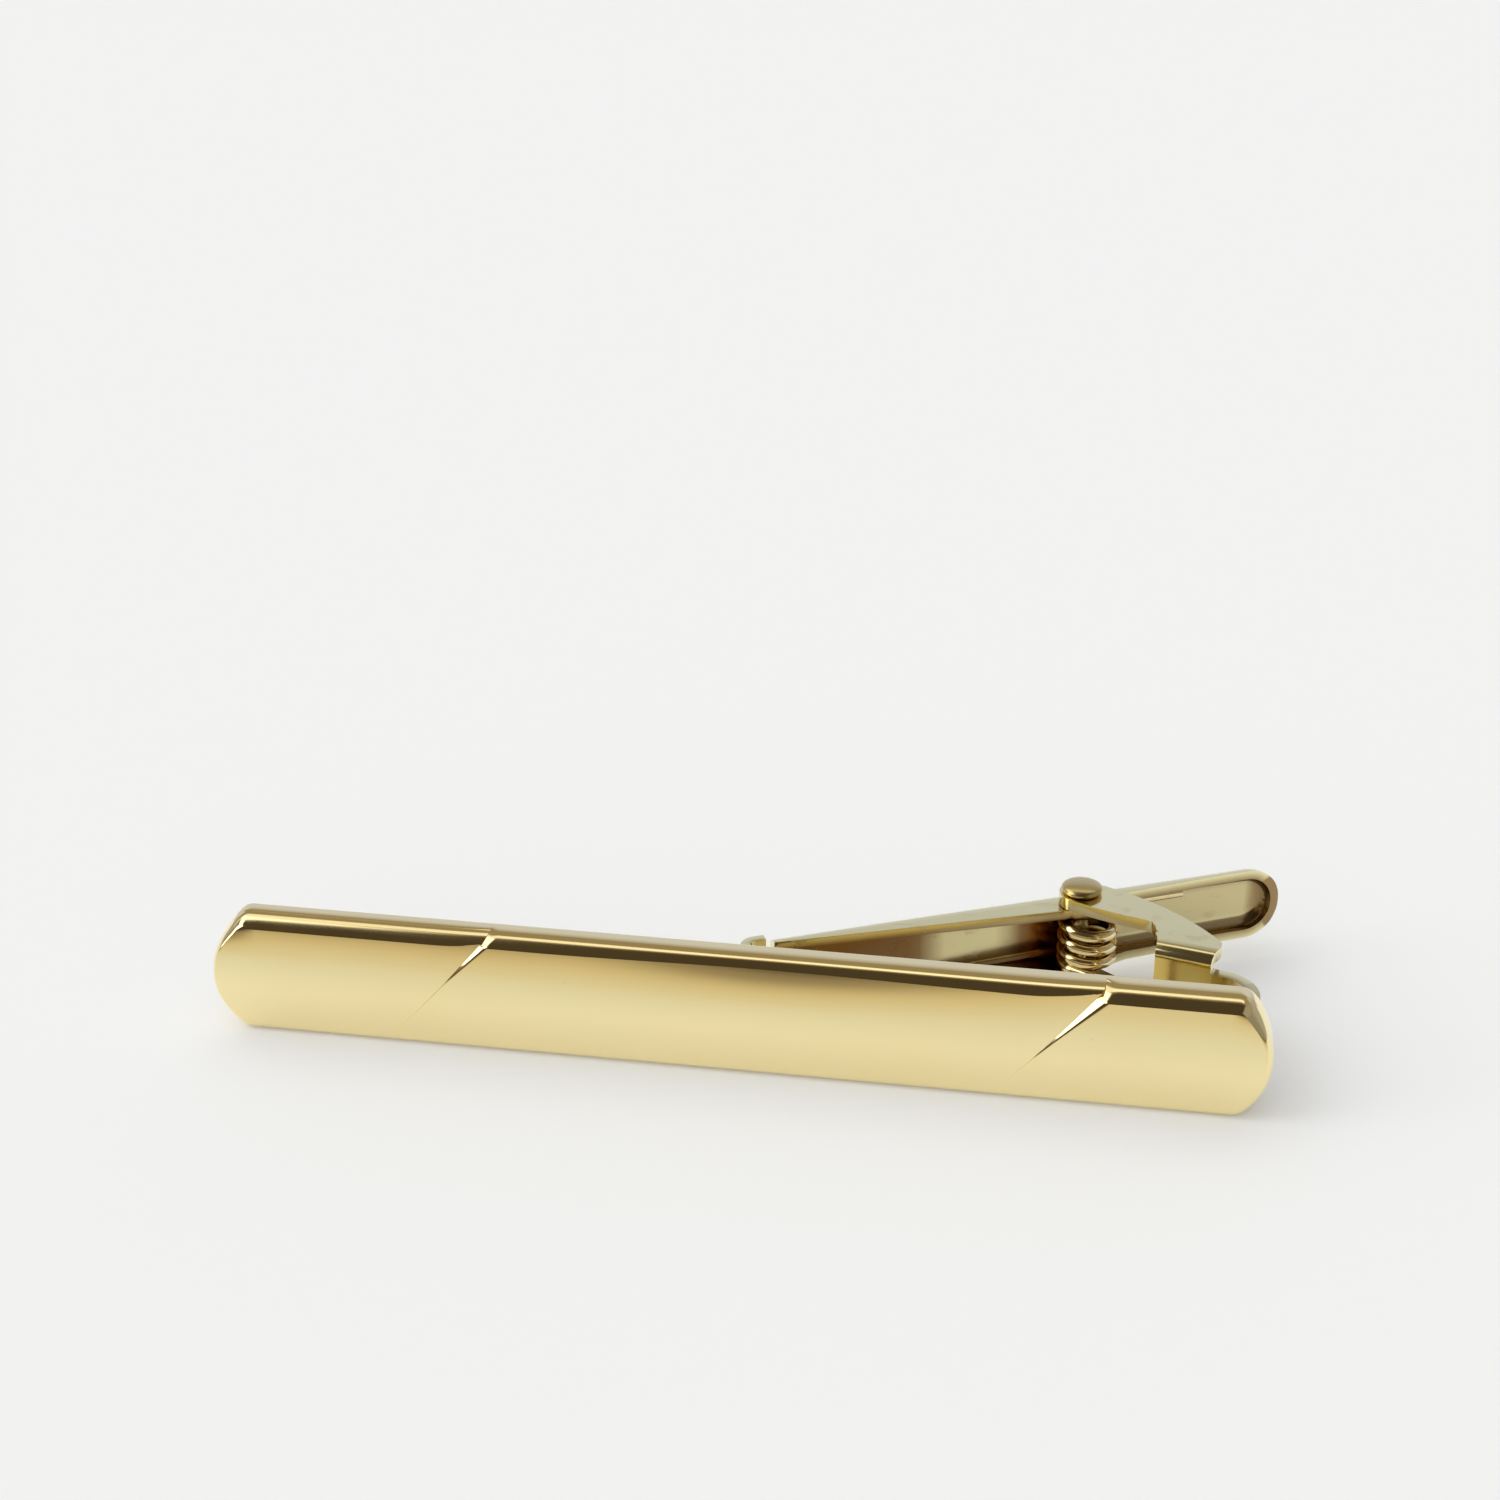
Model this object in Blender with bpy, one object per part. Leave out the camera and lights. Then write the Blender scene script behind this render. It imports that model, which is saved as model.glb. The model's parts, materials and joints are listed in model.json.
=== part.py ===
"""Sprung tie clip, lying on its long edge: front bar, folded bracket, channel arm, rivet and spring.

+X runs along the front bar, +Y points behind it, and +Z runs across its width, along the pivot's
axis. The origin is the middle of the bar's lower edge face. The arm is modelled closed, with its
lip on the bar's back.
"""

import math

import bmesh
import bpy
from mathutils import Vector

# Front bar
BAR_LENGTH = 0.0545
BAR_WIDTH = 0.0066
BAR_EDGE = 0.00144
BAR_CROWN = 0.00026
BAR_BEVEL = 0.00052
BAR_SOFT = 0.0001
END_RADIUS = 0.0044
END_CORNER = 0.0011

# Diagonal cuts across the front, placed along the bar's middle line as shares of its length
CUT_SHARES = (-0.2807, 0.2936)
CUT_LEAN = 0.00565
CUT_DEPTH_TOP = 0.00032
CUT_DEPTH_LOW = 0.00016
CUT_RAMP = 0.0011

# Pivot, measured in from the bar's right end and out from its back
PIVOT_INSET = 0.01011
PIVOT_REACH = 0.00915
SHANK_RADIUS = 0.00045
HEAD_RADIUS = 0.00108
HEAD_RISE = 0.00049
RIVET_FIT = 0.00002
RUNNING_FIT = 0.00005
SEAT_GAP = 0.00003

# Clip arm: a channel of thin sheet, open towards the bar
ARM_WIDTH = 0.00415
ARM_SHEET = 0.0005
ARM_INSIDE_CORNER = 0.0002
ARM_ANGLE = 26.8
ARM_TO_WEB = 0.00172
ARM_THUMB = 0.0121
ARM_TIP = 0.0168
THUMB_CORNER = 0.0017
RIM_TIP = 0.0008
RIM_PIVOT = 0.0023
RIM_SHOULDER = 0.0014
RIM_SHOULDER_PLACE = 0.0030
RIM_THUMB = 0.0012
RIM_THUMB_RUN = 0.0040
LOBE_RADIUS = 0.00095
LOBE_END_ANGLE = -12

# Lip at the arm's tip, past a relief notch
NOTCH = 0.00036
NECK_WIDTH = 0.0026
LIP_WIDTH = 0.0043
LIP_BEND = 0.0007
LIP_START = 0.00055
LIP_GAP = 0.00005

# Bracket: one folded sheet with two ears
EAR_SHEET = 0.00065
EAR_RADIUS = 0.00118
SIDE_CLEARANCE = 0.00005
FOLD_INSIDE = 0.0001
PLATE_OFFSET = 0.00406
PLATE_WIDTH = 0.00265
PLATE_REACH = 0.0039
PLATE_ANGLE = -13.3
EAR_ROOT_LEAN = 0.00005
EAR_ROOT_RISE = 0.0018
EAR_NEAR_ANGLE = -80
EAR_NEAR_BULGE = -0.00045
EAR_FAR_ANGLE = 72
EAR_FAR_BULGE = 0.00072
EAR_HEEL = 0.00062
EAR_HEEL_RISE = 0.0017
EAR_HEEL_LENGTH = 0.0009
STRAP_INSET = 0.00095
STRAP_RUN = 0.00075
STRAP_BEND_SHARE = 0.74
FOOT_BEND = 0.0005
FOOT_LENGTH = 0.0052

# Torsion spring round the rivet
WIRE = 0.00035
COIL_RADIUS = 0.00126
TURN_GAP = 0.00044
POINTS_PER_TURN = 10
ARM_LEG = 0.0060
ARM_LEG_RISE = 0.00006
PLATE_LEG_PLACE = 0.0008
PLATE_LEG_DROP = 0.0004
PLATE_LEG_STAND = 0.0009

ARC_STEPS = 10
BEVEL_STEPS = 3
WELD = 0.000001
CUTTER_OVER = 0.0006

MID_Z = BAR_WIDTH / 2
BACK_Y = BAR_EDGE / 2
PIVOT = Vector((BAR_LENGTH / 2 - PIVOT_INSET, BACK_Y + PIVOT_REACH, MID_Z))
PLATE_LEFT = PIVOT.x + PLATE_OFFSET
ARM_CORNER = ARM_INSIDE_CORNER + ARM_SHEET
FOLD_RADIUS = FOLD_INSIDE + EAR_SHEET
EAR_INSIDE = ARM_WIDTH / 2 + SIDE_CLEARANCE
EAR_OUTSIDE = EAR_INSIDE + EAR_SHEET


def link(name, mesh):
    """Put a mesh into the scene as an object."""
    obj = bpy.data.objects.new(name, mesh)
    bpy.context.collection.objects.link(obj)
    return obj


def loft(name, rings):
    """One closed body through rings of points, capped at both ends and facing out."""
    bm = bmesh.new()
    loops = [[bm.verts.new(point) for point in ring] for ring in rings]
    count = len(rings[0])
    for low, high in zip(loops, loops[1:]):
        for i in range(count):
            j = (i + 1) % count
            bm.faces.new((low[i], low[j], high[j], high[i]))
    bm.faces.new(loops[0][::-1])
    bm.faces.new(loops[-1])
    bmesh.ops.recalc_face_normals(bm, faces=bm.faces)
    mesh = bpy.data.meshes.new(name)
    bm.to_mesh(mesh)
    bm.free()
    return link(name, mesh)


def plan_prism(name, outline, low, high):
    """A plan outline of (x, y) points, raised from one height to another."""
    return loft(name, [[(x, y, z) for x, y in outline] for z in (low, high)])


def weld(mesh):
    """Join points that coincide and drop the faces that this leaves without an area."""
    bm = bmesh.new()
    bm.from_mesh(mesh)
    bmesh.ops.remove_doubles(bm, verts=bm.verts, dist=WELD)
    bmesh.ops.dissolve_degenerate(bm, edges=bm.edges, dist=WELD)
    bm.to_mesh(mesh)
    bm.free()


def combine(obj, other, operation):
    """Cut, join or trim an object with another, which is then removed."""
    step = obj.modifiers.new(operation.lower(), "BOOLEAN")
    step.operation = operation
    step.solver = "EXACT"
    step.object = other
    done = bpy.data.meshes.new_from_object(obj.evaluated_get(bpy.context.evaluated_depsgraph_get()))
    weld(done)
    obj.modifiers.clear()
    old = obj.data
    obj.data = done
    bpy.data.meshes.remove(old)
    bpy.data.objects.remove(other)
    return obj


def arc(centre, radius, start, end, steps=ARC_STEPS):
    """Points of an arc between two angles in degrees."""
    cx, cy = centre
    points = []
    for i in range(steps + 1):
        angle = math.radians(start + (end - start) * i / steps)
        points.append((cx + radius * math.cos(angle), cy + radius * math.sin(angle)))
    return points


def polar(centre, radius, angle):
    """Point on a circle at an angle in degrees."""
    return arc(centre, radius, angle, angle, 1)[0]


def arc_between(first, last, bulge, steps):
    """Points of the arc from one point to another that stands out by a bulge on the left."""
    a, b = Vector(first), Vector(last)
    middle = (a + b) / 2
    along = (b - a).normalized()
    left = Vector((-along.y, along.x))
    half = (b - a).length / 2
    radius = (half**2 + bulge**2) / (2 * bulge)
    centre = middle + left * (bulge - radius)
    start = a - centre
    turn = 2 * math.asin(min(half / abs(radius), 1.0)) * (-1 if bulge > 0 else 1)
    points = []
    for i in range(steps + 1):
        angle = turn * i / steps
        c, s = math.cos(angle), math.sin(angle)
        points.append((centre.x + c * start.x - s * start.y, centre.y + s * start.x + c * start.y))
    return points


def rounded_end(length, width, radius, corner):
    """Right half of a bar's outline: a shallow end arc with a rounded corner on each side."""
    centre = length / 2 - radius
    inset = width / 2 - corner
    corner_x = centre + math.sqrt((radius - corner) ** 2 - inset**2)
    turn = math.degrees(math.atan2(inset, corner_x - centre))
    lower = arc((corner_x, -inset), corner, -90, -turn, 5)
    end = arc((centre, 0), radius, -turn, turn, 12)
    upper = arc((corner_x, inset), corner, turn, 90, 5)
    return lower + end[1:-1] + upper


def finish(obj, colour, roughness, sharp=32):
    """Metal finish and smooth shading between sharp edges."""
    metal = bpy.data.materials.new(obj.name + "_metal")
    metal.use_nodes = True
    shader = metal.node_tree.nodes["Principled BSDF"]
    shader.inputs["Base Color"].default_value = (*colour, 1.0)
    shader.inputs["Metallic"].default_value = 1.0
    shader.inputs["Roughness"].default_value = roughness
    obj.data.materials.clear()
    obj.data.materials.append(metal)
    obj.data.shade_smooth()
    obj.data.set_sharp_from_angle(angle=math.radians(sharp))


def front_surface(z):
    """The crowned front's Y at a height above the bar's lower edge."""
    offset = z - MID_Z
    radius = (MID_Z**2 + BAR_CROWN**2) / (2 * BAR_CROWN)
    fall = radius - math.sqrt(max(radius**2 - offset**2, 0.0))
    return -(BACK_Y + BAR_BEVEL + BAR_CROWN) + fall


def bar_outline(inset):
    """Right half of the bar's outline at a distance inside its edge, from the bottom to the top."""
    size = (BAR_LENGTH - 2 * inset, BAR_WIDTH - 2 * inset, END_RADIUS - inset, END_CORNER - inset)
    return [(x, z + MID_Z) for x, z in rounded_end(*size)]


def bevel_steps():
    """How far in and how far back each line of the front's rounded bevel lies."""
    angles = [math.radians(90 * i / BEVEL_STEPS) for i in range(BEVEL_STEPS + 1)]
    return [(BAR_BEVEL * (1 - math.cos(a)), BAR_BEVEL * (1 - math.sin(a))) for a in angles]


def diagonal_cutter(middle):
    """Wedge for one diagonal cut: a steep wall on its left, a long ramp on its right."""
    over = CUTTER_OVER
    bevel = [inset for inset, _ in bevel_steps()[:-1]]
    heights = [-over] + bevel + [z for _, z in bar_outline(BAR_BEVEL)]
    heights += [BAR_WIDTH - inset for inset in reversed(bevel)] + [BAR_WIDTH + over]
    rings = []
    for z in heights:
        share = (z + over) / (BAR_WIDTH + 2 * over)
        x = middle + CUT_LEAN * (z - MID_Z) / BAR_WIDTH
        depth = CUT_DEPTH_LOW + (CUT_DEPTH_TOP - CUT_DEPTH_LOW) * share**2
        edge = min(max(z, 0.0), BAR_WIDTH)
        inside = min(edge, BAR_WIDTH - edge)
        surface = front_surface(edge) + max(BAR_BEVEL - inside, 0.0)
        ramp = CUT_RAMP * (depth + over) / CUT_DEPTH_TOP
        rings.append([
            (x, surface + depth, z),
            (x + ramp, surface - over, z),
            (x - over / 8, surface - over, z),
        ])
    return loft("diagonal_cutter", rings)


def front_bar():
    """Solid bar with arched ends, a crowned and bevelled front and two diagonal cuts."""
    rings = []
    for inset, y in ((BAR_SOFT, BACK_Y), (0.0, BACK_Y - BAR_SOFT)):
        rings.append([(x, y, z) for x, z in bar_outline(inset)])
    for inset, back in bevel_steps():
        rings.append([(x, front_surface(z) + back, z) for x, z in bar_outline(inset)])
    bm = bmesh.new()
    loops = []
    for ring in rings:
        outline = ring + [(-x, y, z) for x, y, z in reversed(ring)]
        loops.append([bm.verts.new(point) for point in outline])
    count = len(loops[0])
    for low, high in zip(loops, loops[1:]):
        for i in range(count):
            j = (i + 1) % count
            bm.faces.new((low[i], low[j], high[j], high[i]))
    bm.faces.new(loops[0][::-1])
    front = loops[-1]
    for i in range(count // 2 - 1):
        bm.faces.new((front[i], front[i + 1], front[count - 2 - i], front[count - 1 - i]))
    bmesh.ops.recalc_face_normals(bm, faces=bm.faces)
    mesh = bpy.data.meshes.new("front_bar")
    bm.to_mesh(mesh)
    bm.free()
    bar = link("front_bar", mesh)

    for share in CUT_SHARES:
        combine(bar, diagonal_cutter(share * BAR_LENGTH), "DIFFERENCE")
    finish(bar, (0.94, 0.76, 0.40), 0.12)
    return bar


def offset_band(path, thickness):
    """Outline of a band of sheet that follows a path of (x, y) points along its middle."""
    left, right = [], []
    for i, (x, y) in enumerate(path):
        ahead = path[min(i + 1, len(path) - 1)]
        behind = path[max(i - 1, 0)]
        along = Vector((ahead[0] - behind[0], ahead[1] - behind[1])).normalized()
        side = Vector((-along.y, along.x)) * thickness / 2
        left.append((x + side.x, y + side.y))
        right.append((x - side.x, y - side.y))
    return left + right[::-1]


def plate_frame():
    """Where the bracket's plate starts, its direction, and the direction away from the bar."""
    angle = math.radians(PLATE_ANGLE)
    start = Vector((PLATE_LEFT, BACK_Y + PLATE_REACH))
    along = Vector((math.cos(angle), math.sin(angle)))
    away = Vector((-along.y, along.x))
    return start, along, away


def strap_path():
    """Middle line of the sheet: along the plate, round the bend and back along the bar as a foot."""
    start, along, away = plate_frame()
    middle = start + away * EAR_SHEET / 2
    length = (PLATE_WIDTH + STRAP_RUN) / along.x
    foot_y = BACK_Y + SEAT_GAP + EAR_SHEET / 2
    path = [tuple(middle), tuple(middle + along * length)]

    bend = STRAP_BEND_SHARE * (path[-1][1] - foot_y - FOOT_BEND)
    turn = Vector(path[-1]) - away * bend
    path += arc(turn, bend, 90 + PLATE_ANGLE, 0)[1:]
    foot_x = turn.x + bend - FOOT_BEND
    path += arc((foot_x, foot_y + FOOT_BEND), FOOT_BEND, 0, -90, 6)
    path.append((foot_x - FOOT_LENGTH, foot_y))
    return path


def ear_outline():
    """Plan outline of an ear with the fold it grows from, as a stamped blank would have it."""
    start, along, away = plate_frame()
    right = start + along * PLATE_WIDTH / along.x
    pivot = Vector((PIVOT.x, PIVOT.y))
    root = (start.x - EAR_ROOT_LEAN, start.y + EAR_ROOT_RISE)
    near = arc_between(root, polar(pivot, EAR_RADIUS, EAR_NEAR_ANGLE), EAR_NEAR_BULGE, 6)[:-1]
    disc = arc(tuple(pivot), EAR_RADIUS, EAR_NEAR_ANGLE, EAR_FAR_ANGLE - 360, 16)
    heel = (right.x + EAR_HEEL, right.y + EAR_HEEL_RISE)
    far = arc_between(disc[-1], heel, EAR_FAR_BULGE, 10)[1:]
    heel_end = (heel[0] - EAR_HEEL_LENGTH / 4, heel[1] - EAR_HEEL_LENGTH)
    far += arc_between(heel, heel_end, EAR_HEEL_LENGTH / 9, 4)[1:]
    far += arc_between(heel_end, tuple(right), -EAR_HEEL_LENGTH / 8, 4)[1:]
    base = [tuple(right - away * EAR_SHEET), tuple(start - away * EAR_SHEET)]
    return near + disc + far + base


def folded_channel():
    """Sheet folded to a channel: the plate in front, an ear above and one below."""
    start, along, away = plate_frame()
    inner_radius = FOLD_RADIUS - EAR_SHEET
    depth = PIVOT_REACH + 2 * EAR_RADIUS
    outer = [(depth, -EAR_OUTSIDE)]
    outer += arc((FOLD_RADIUS, FOLD_RADIUS - EAR_OUTSIDE), FOLD_RADIUS, -90, -180, 5)
    outer += arc((FOLD_RADIUS, EAR_OUTSIDE - FOLD_RADIUS), FOLD_RADIUS, 180, 90, 5)
    outer += [(depth, EAR_OUTSIDE), (depth, EAR_INSIDE)]
    inner = arc((FOLD_RADIUS, EAR_INSIDE - inner_radius), inner_radius, 90, 180, 3)
    inner += arc((FOLD_RADIUS, inner_radius - EAR_INSIDE), inner_radius, 180, 270, 3)
    section = outer + inner + [(depth, -EAR_INSIDE)]
    rings = []
    for reach in (-BAR_LENGTH, BAR_LENGTH):
        ring = []
        for back, height in section:
            point = start + along * reach + away * back
            ring.append((point.x, point.y, MID_Z + height))
        rings.append(ring)
    return loft("channel", rings)


def rivet_hole(radius, name):
    """Cutter for a hole along the pivot's axis."""
    outline = arc((PIVOT.x, PIVOT.y), radius, 0, 360 * 23 / 24, 23)
    return plan_prism(name, outline, -BAR_WIDTH, 2 * BAR_WIDTH)


def bracket():
    """Folded bracket: foot on the bar's back, bend, plate, and an ear on each side of the arm."""
    body = folded_channel()
    body.name = "bracket"
    blank = plan_prism("ear_blank", ear_outline(), -BAR_WIDTH, 2 * BAR_WIDTH)
    combine(body, blank, "INTERSECT")
    half = EAR_OUTSIDE - STRAP_INSET
    strap = plan_prism("strap", offset_band(strap_path(), EAR_SHEET), MID_Z - half, MID_Z + half)
    combine(body, strap, "UNION")
    combine(body, rivet_hole(SHANK_RADIUS + RIVET_FIT, "ear_hole"), "DIFFERENCE")
    finish(body, (0.90, 0.74, 0.42), 0.18)
    return body


def arm_ring(inset, height):
    """Ring of the channel's outline at a distance from the pivot towards or away from the bar."""
    half = ARM_WIDTH / 2 - inset
    end = ARM_THUMB - inset
    corner = THUMB_CORNER - inset
    tip = -(ARM_TIP + ARM_WIDTH)
    outline = [(tip, -half)]
    outline += arc((end - corner, corner - half), corner, -90, 0, 8)
    outline += arc((end - corner, half - corner), corner, 0, 90, 8)
    outline += [(tip, half)]
    return [(x, height, z) for x, z in outline]


def pan(name, inset, radius, web, rim):
    """Dished solid with a rounded corner all round its web."""
    rings = [arm_ring(inset, rim)]
    for i in range(5):
        angle = math.radians(90 * i / 4)
        rings.append(arm_ring(inset + radius * (1 - math.cos(angle)), web - radius * (1 - math.sin(angle))))
    return loft(name, rings)


def rim_outline():
    """What is trimmed off below the rim, seen from the side, with a lobe round the pivot."""
    web = ARM_TO_WEB
    lobe_start = math.degrees(math.asin((RIM_PIVOT - web) / LOBE_RADIUS))
    lobe = arc((0, 0), LOBE_RADIUS, -180 + lobe_start, LOBE_END_ANGLE)
    right = ARM_THUMB + ARM_WIDTH
    left = -(ARM_TIP + 2 * ARM_WIDTH)
    below = -BAR_LENGTH
    thumb = [
        (RIM_SHOULDER_PLACE, web - RIM_SHOULDER),
        (ARM_THUMB - RIM_THUMB_RUN, web - RIM_THUMB),
        (right, web - RIM_THUMB),
    ]
    tip = [(left, web - RIM_TIP), (-ARM_TIP, web - RIM_TIP)]
    return tip + lobe + thumb + [(right, below), (left, below)]


def lip_path():
    """Middle line of the lip: on from the web, round the bend and down to the bar's back."""
    middle = ARM_TO_WEB - ARM_SHEET / 2
    start = -(ARM_TIP + NOTCH)
    bend = start - LIP_START
    turn = 90 - ARM_ANGLE
    path = [(start, middle)]
    path += arc((bend, middle - LIP_BEND), LIP_BEND, 90, 90 + turn, 8)
    heading = math.radians(180 + turn)
    down = Vector((math.cos(heading), math.sin(heading)))
    tilt = math.radians(ARM_ANGLE)
    last = Vector(path[-1])
    above_bar = PIVOT_REACH + last.x * math.sin(tilt) + last.y * math.cos(tilt)
    path.append(tuple(last + down * (above_bar - LIP_GAP)))
    return path


def clip_arm():
    """Channel arm with a rounded thumb end, a lobe at the pivot, a relief notch and a bent lip."""
    depth = RIM_PIVOT + LOBE_RADIUS
    arm = pan("clip_arm", 0.0, ARM_CORNER, ARM_TO_WEB, -depth)
    hollow = pan("hollow", ARM_SHEET, ARM_INSIDE_CORNER, ARM_TO_WEB - ARM_SHEET, -2 * depth)
    combine(arm, hollow, "DIFFERENCE")
    combine(arm, plan_prism("rim", rim_outline(), -ARM_WIDTH, ARM_WIDTH), "DIFFERENCE")
    far = ARM_TIP + 2 * ARM_WIDTH
    beyond = [(-far, -far), (-ARM_TIP, -far), (-ARM_TIP, far), (-far, far)]
    combine(arm, plan_prism("beyond", beyond, -ARM_WIDTH, ARM_WIDTH), "DIFFERENCE")

    web, under = ARM_TO_WEB, ARM_TO_WEB - ARM_SHEET
    right, left = -ARM_TIP + ARM_SHEET, -(ARM_TIP + NOTCH + LIP_START / 2)
    neck = [(left, under), (right, under), (right, web), (left, web)]
    lip = plan_prism("lip", offset_band(lip_path(), ARM_SHEET), -LIP_WIDTH / 2, LIP_WIDTH / 2)
    combine(lip, plan_prism("neck", neck, -NECK_WIDTH / 2, NECK_WIDTH / 2), "UNION")
    combine(arm, lip, "UNION")

    hole = arc((0, 0), SHANK_RADIUS + RUNNING_FIT, 0, 360 * 23 / 24, 23)
    combine(arm, plan_prism("arm_hole", hole, -ARM_WIDTH, ARM_WIDTH), "DIFFERENCE")
    arm.location = PIVOT
    arm.rotation_euler = (0, 0, math.radians(ARM_ANGLE))
    finish(arm, (0.90, 0.75, 0.43), 0.16)
    return arm


def pivot_rivet():
    """Rivet with a low button head at each end, formed over the ears."""
    seat = EAR_OUTSIDE + SEAT_GAP
    belt = 0.4 * HEAD_RISE
    side = [(0.78 * HEAD_RADIUS, seat), (0.95 * HEAD_RADIUS, seat + 0.4 * belt)]
    for out, height in arc((0, 0), 1.0, 0, 75, 5):
        side.append((HEAD_RADIUS * out, seat + belt + (HEAD_RISE - belt) * height))
    side.append((0.05 * HEAD_RADIUS, seat + HEAD_RISE))
    top = [(SHANK_RADIUS, 0.0), (SHANK_RADIUS, seat)] + side
    profile = [(r, -h) for r, h in reversed(top[1:])] + top[1:]
    rings = []
    for radius, height in profile:
        rings.append([(x, y, height) for x, y in arc((0, 0), radius, 0, 345, 23)])
    rivet = loft("pivot_rivet", rings)
    rivet.location = PIVOT
    finish(rivet, (0.92, 0.76, 0.42), 0.14, 50)
    return rivet


def tangent_angle(centre, radius, outside):
    """Angle on a circle where a line from an outside point meets it, to be followed clockwise."""
    away = Vector(outside) - Vector(centre)
    return math.atan2(away.y, away.x) - math.acos(radius / away.length)


def spring_coil(centre, first, last):
    """Coil points from the lower leg's angle up to the upper leg's, as many turns as find room."""
    room = ARM_WIDTH - 2 * ARM_SHEET - WIRE
    pitch = WIRE + TURN_GAP
    part_turn = (first - last) % (2 * math.pi) / (2 * math.pi)
    turns = part_turn + math.floor(room / pitch - part_turn)
    low = MID_Z - pitch * turns / 2
    steps = round(POINTS_PER_TURN * turns)
    coil = []
    for i in range(steps + 1):
        angle = first - 2 * math.pi * turns * i / steps
        x = centre.x + COIL_RADIUS * math.cos(angle)
        y = centre.y + COIL_RADIUS * math.sin(angle)
        coil.append(Vector((x, y, low + pitch * turns * i / steps)))
    return coil


def spring_points():
    """The wire's middle line: foot on the plate, leg, coil from bottom to top, leg on the arm."""
    tilt = math.radians(ARM_ANGLE)
    up = Vector((-math.sin(tilt), math.cos(tilt)))
    ahead = Vector((math.cos(tilt), math.sin(tilt), 0))
    leg_height = ARM_TO_WEB - ARM_SHEET - SEAT_GAP - WIRE / 2
    centre = PIVOT.xy + up * (leg_height - COIL_RADIUS)

    start, along, away = plate_frame()
    foot = start + along * PLATE_LEG_PLACE + away * (EAR_SHEET + SEAT_GAP)
    knee = foot + away * PLATE_LEG_STAND
    coil = spring_coil(centre, tangent_angle(centre, COIL_RADIUS, knee), tilt + math.pi / 2)

    low = coil[0].z - PLATE_LEG_DROP
    stand = Vector((*knee, low))
    points = [Vector((*foot, low)), Vector((*foot.lerp(knee, 0.6), low))]
    points += [stand.lerp(coil[0], share) for share in (0.12, 0.5, 0.9)]
    points += coil
    for share, lift in ((0.1, 0.4), (0.3, 1.0), (1.0, 1.0)):
        points.append(coil[-1] + ahead * ARM_LEG * share + Vector((0, 0, ARM_LEG_RISE * lift)))
    return points


def turn_gap(points):
    """Least clear distance between stretches of wire that are at least half a turn apart."""
    fine = []
    for a, b in zip(points, points[1:]):
        fine += [a.lerp(b, i / 6) for i in range(6)]
    apart = POINTS_PER_TURN // 2 * 6
    least = math.inf
    for i, p in enumerate(fine):
        for q in fine[i + apart:]:
            least = min(least, (p - q).length)
    return least - WIRE


def torsion_spring():
    """Torsion spring wound round the rivet, one leg on the arm's web and one on the plate."""
    points = spring_points()
    print(f"torsion_spring least gap between turns {turn_gap(points) * 1000:.3f} mm")
    curve = bpy.data.curves.new("torsion_spring", "CURVE")
    curve.dimensions = "3D"
    curve.bevel_depth = WIRE / 2
    curve.bevel_resolution = 1
    curve.use_fill_caps = True
    spline = curve.splines.new("POLY")
    spline.points.add(len(points) - 1)
    for spot, point in zip(spline.points, points):
        spot.co = (point.x, point.y, point.z, 1.0)
    guide = bpy.data.objects.new("torsion_spring_guide", curve)
    bpy.context.collection.objects.link(guide)
    mesh = bpy.data.meshes.new_from_object(guide.evaluated_get(bpy.context.evaluated_depsgraph_get()))
    bpy.data.objects.remove(guide)
    weld(mesh)
    spring = link("torsion_spring", mesh)
    finish(spring, (0.88, 0.70, 0.38), 0.15, 60)
    return spring


def build():
    """Clear the scene and make the five pieces."""
    for obj in list(bpy.data.objects):
        bpy.data.objects.remove(obj)
    front_bar()
    bracket()
    clip_arm()
    pivot_rivet()
    torsion_spring()


build()
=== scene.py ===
"""Sprung tie clip in polished gold: an add-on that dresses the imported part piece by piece."""

import json
import math

import bmesh
import bpy
from bpy.props import FloatProperty, FloatVectorProperty, IntProperty, PointerProperty
from mathutils import Matrix, Vector

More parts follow.
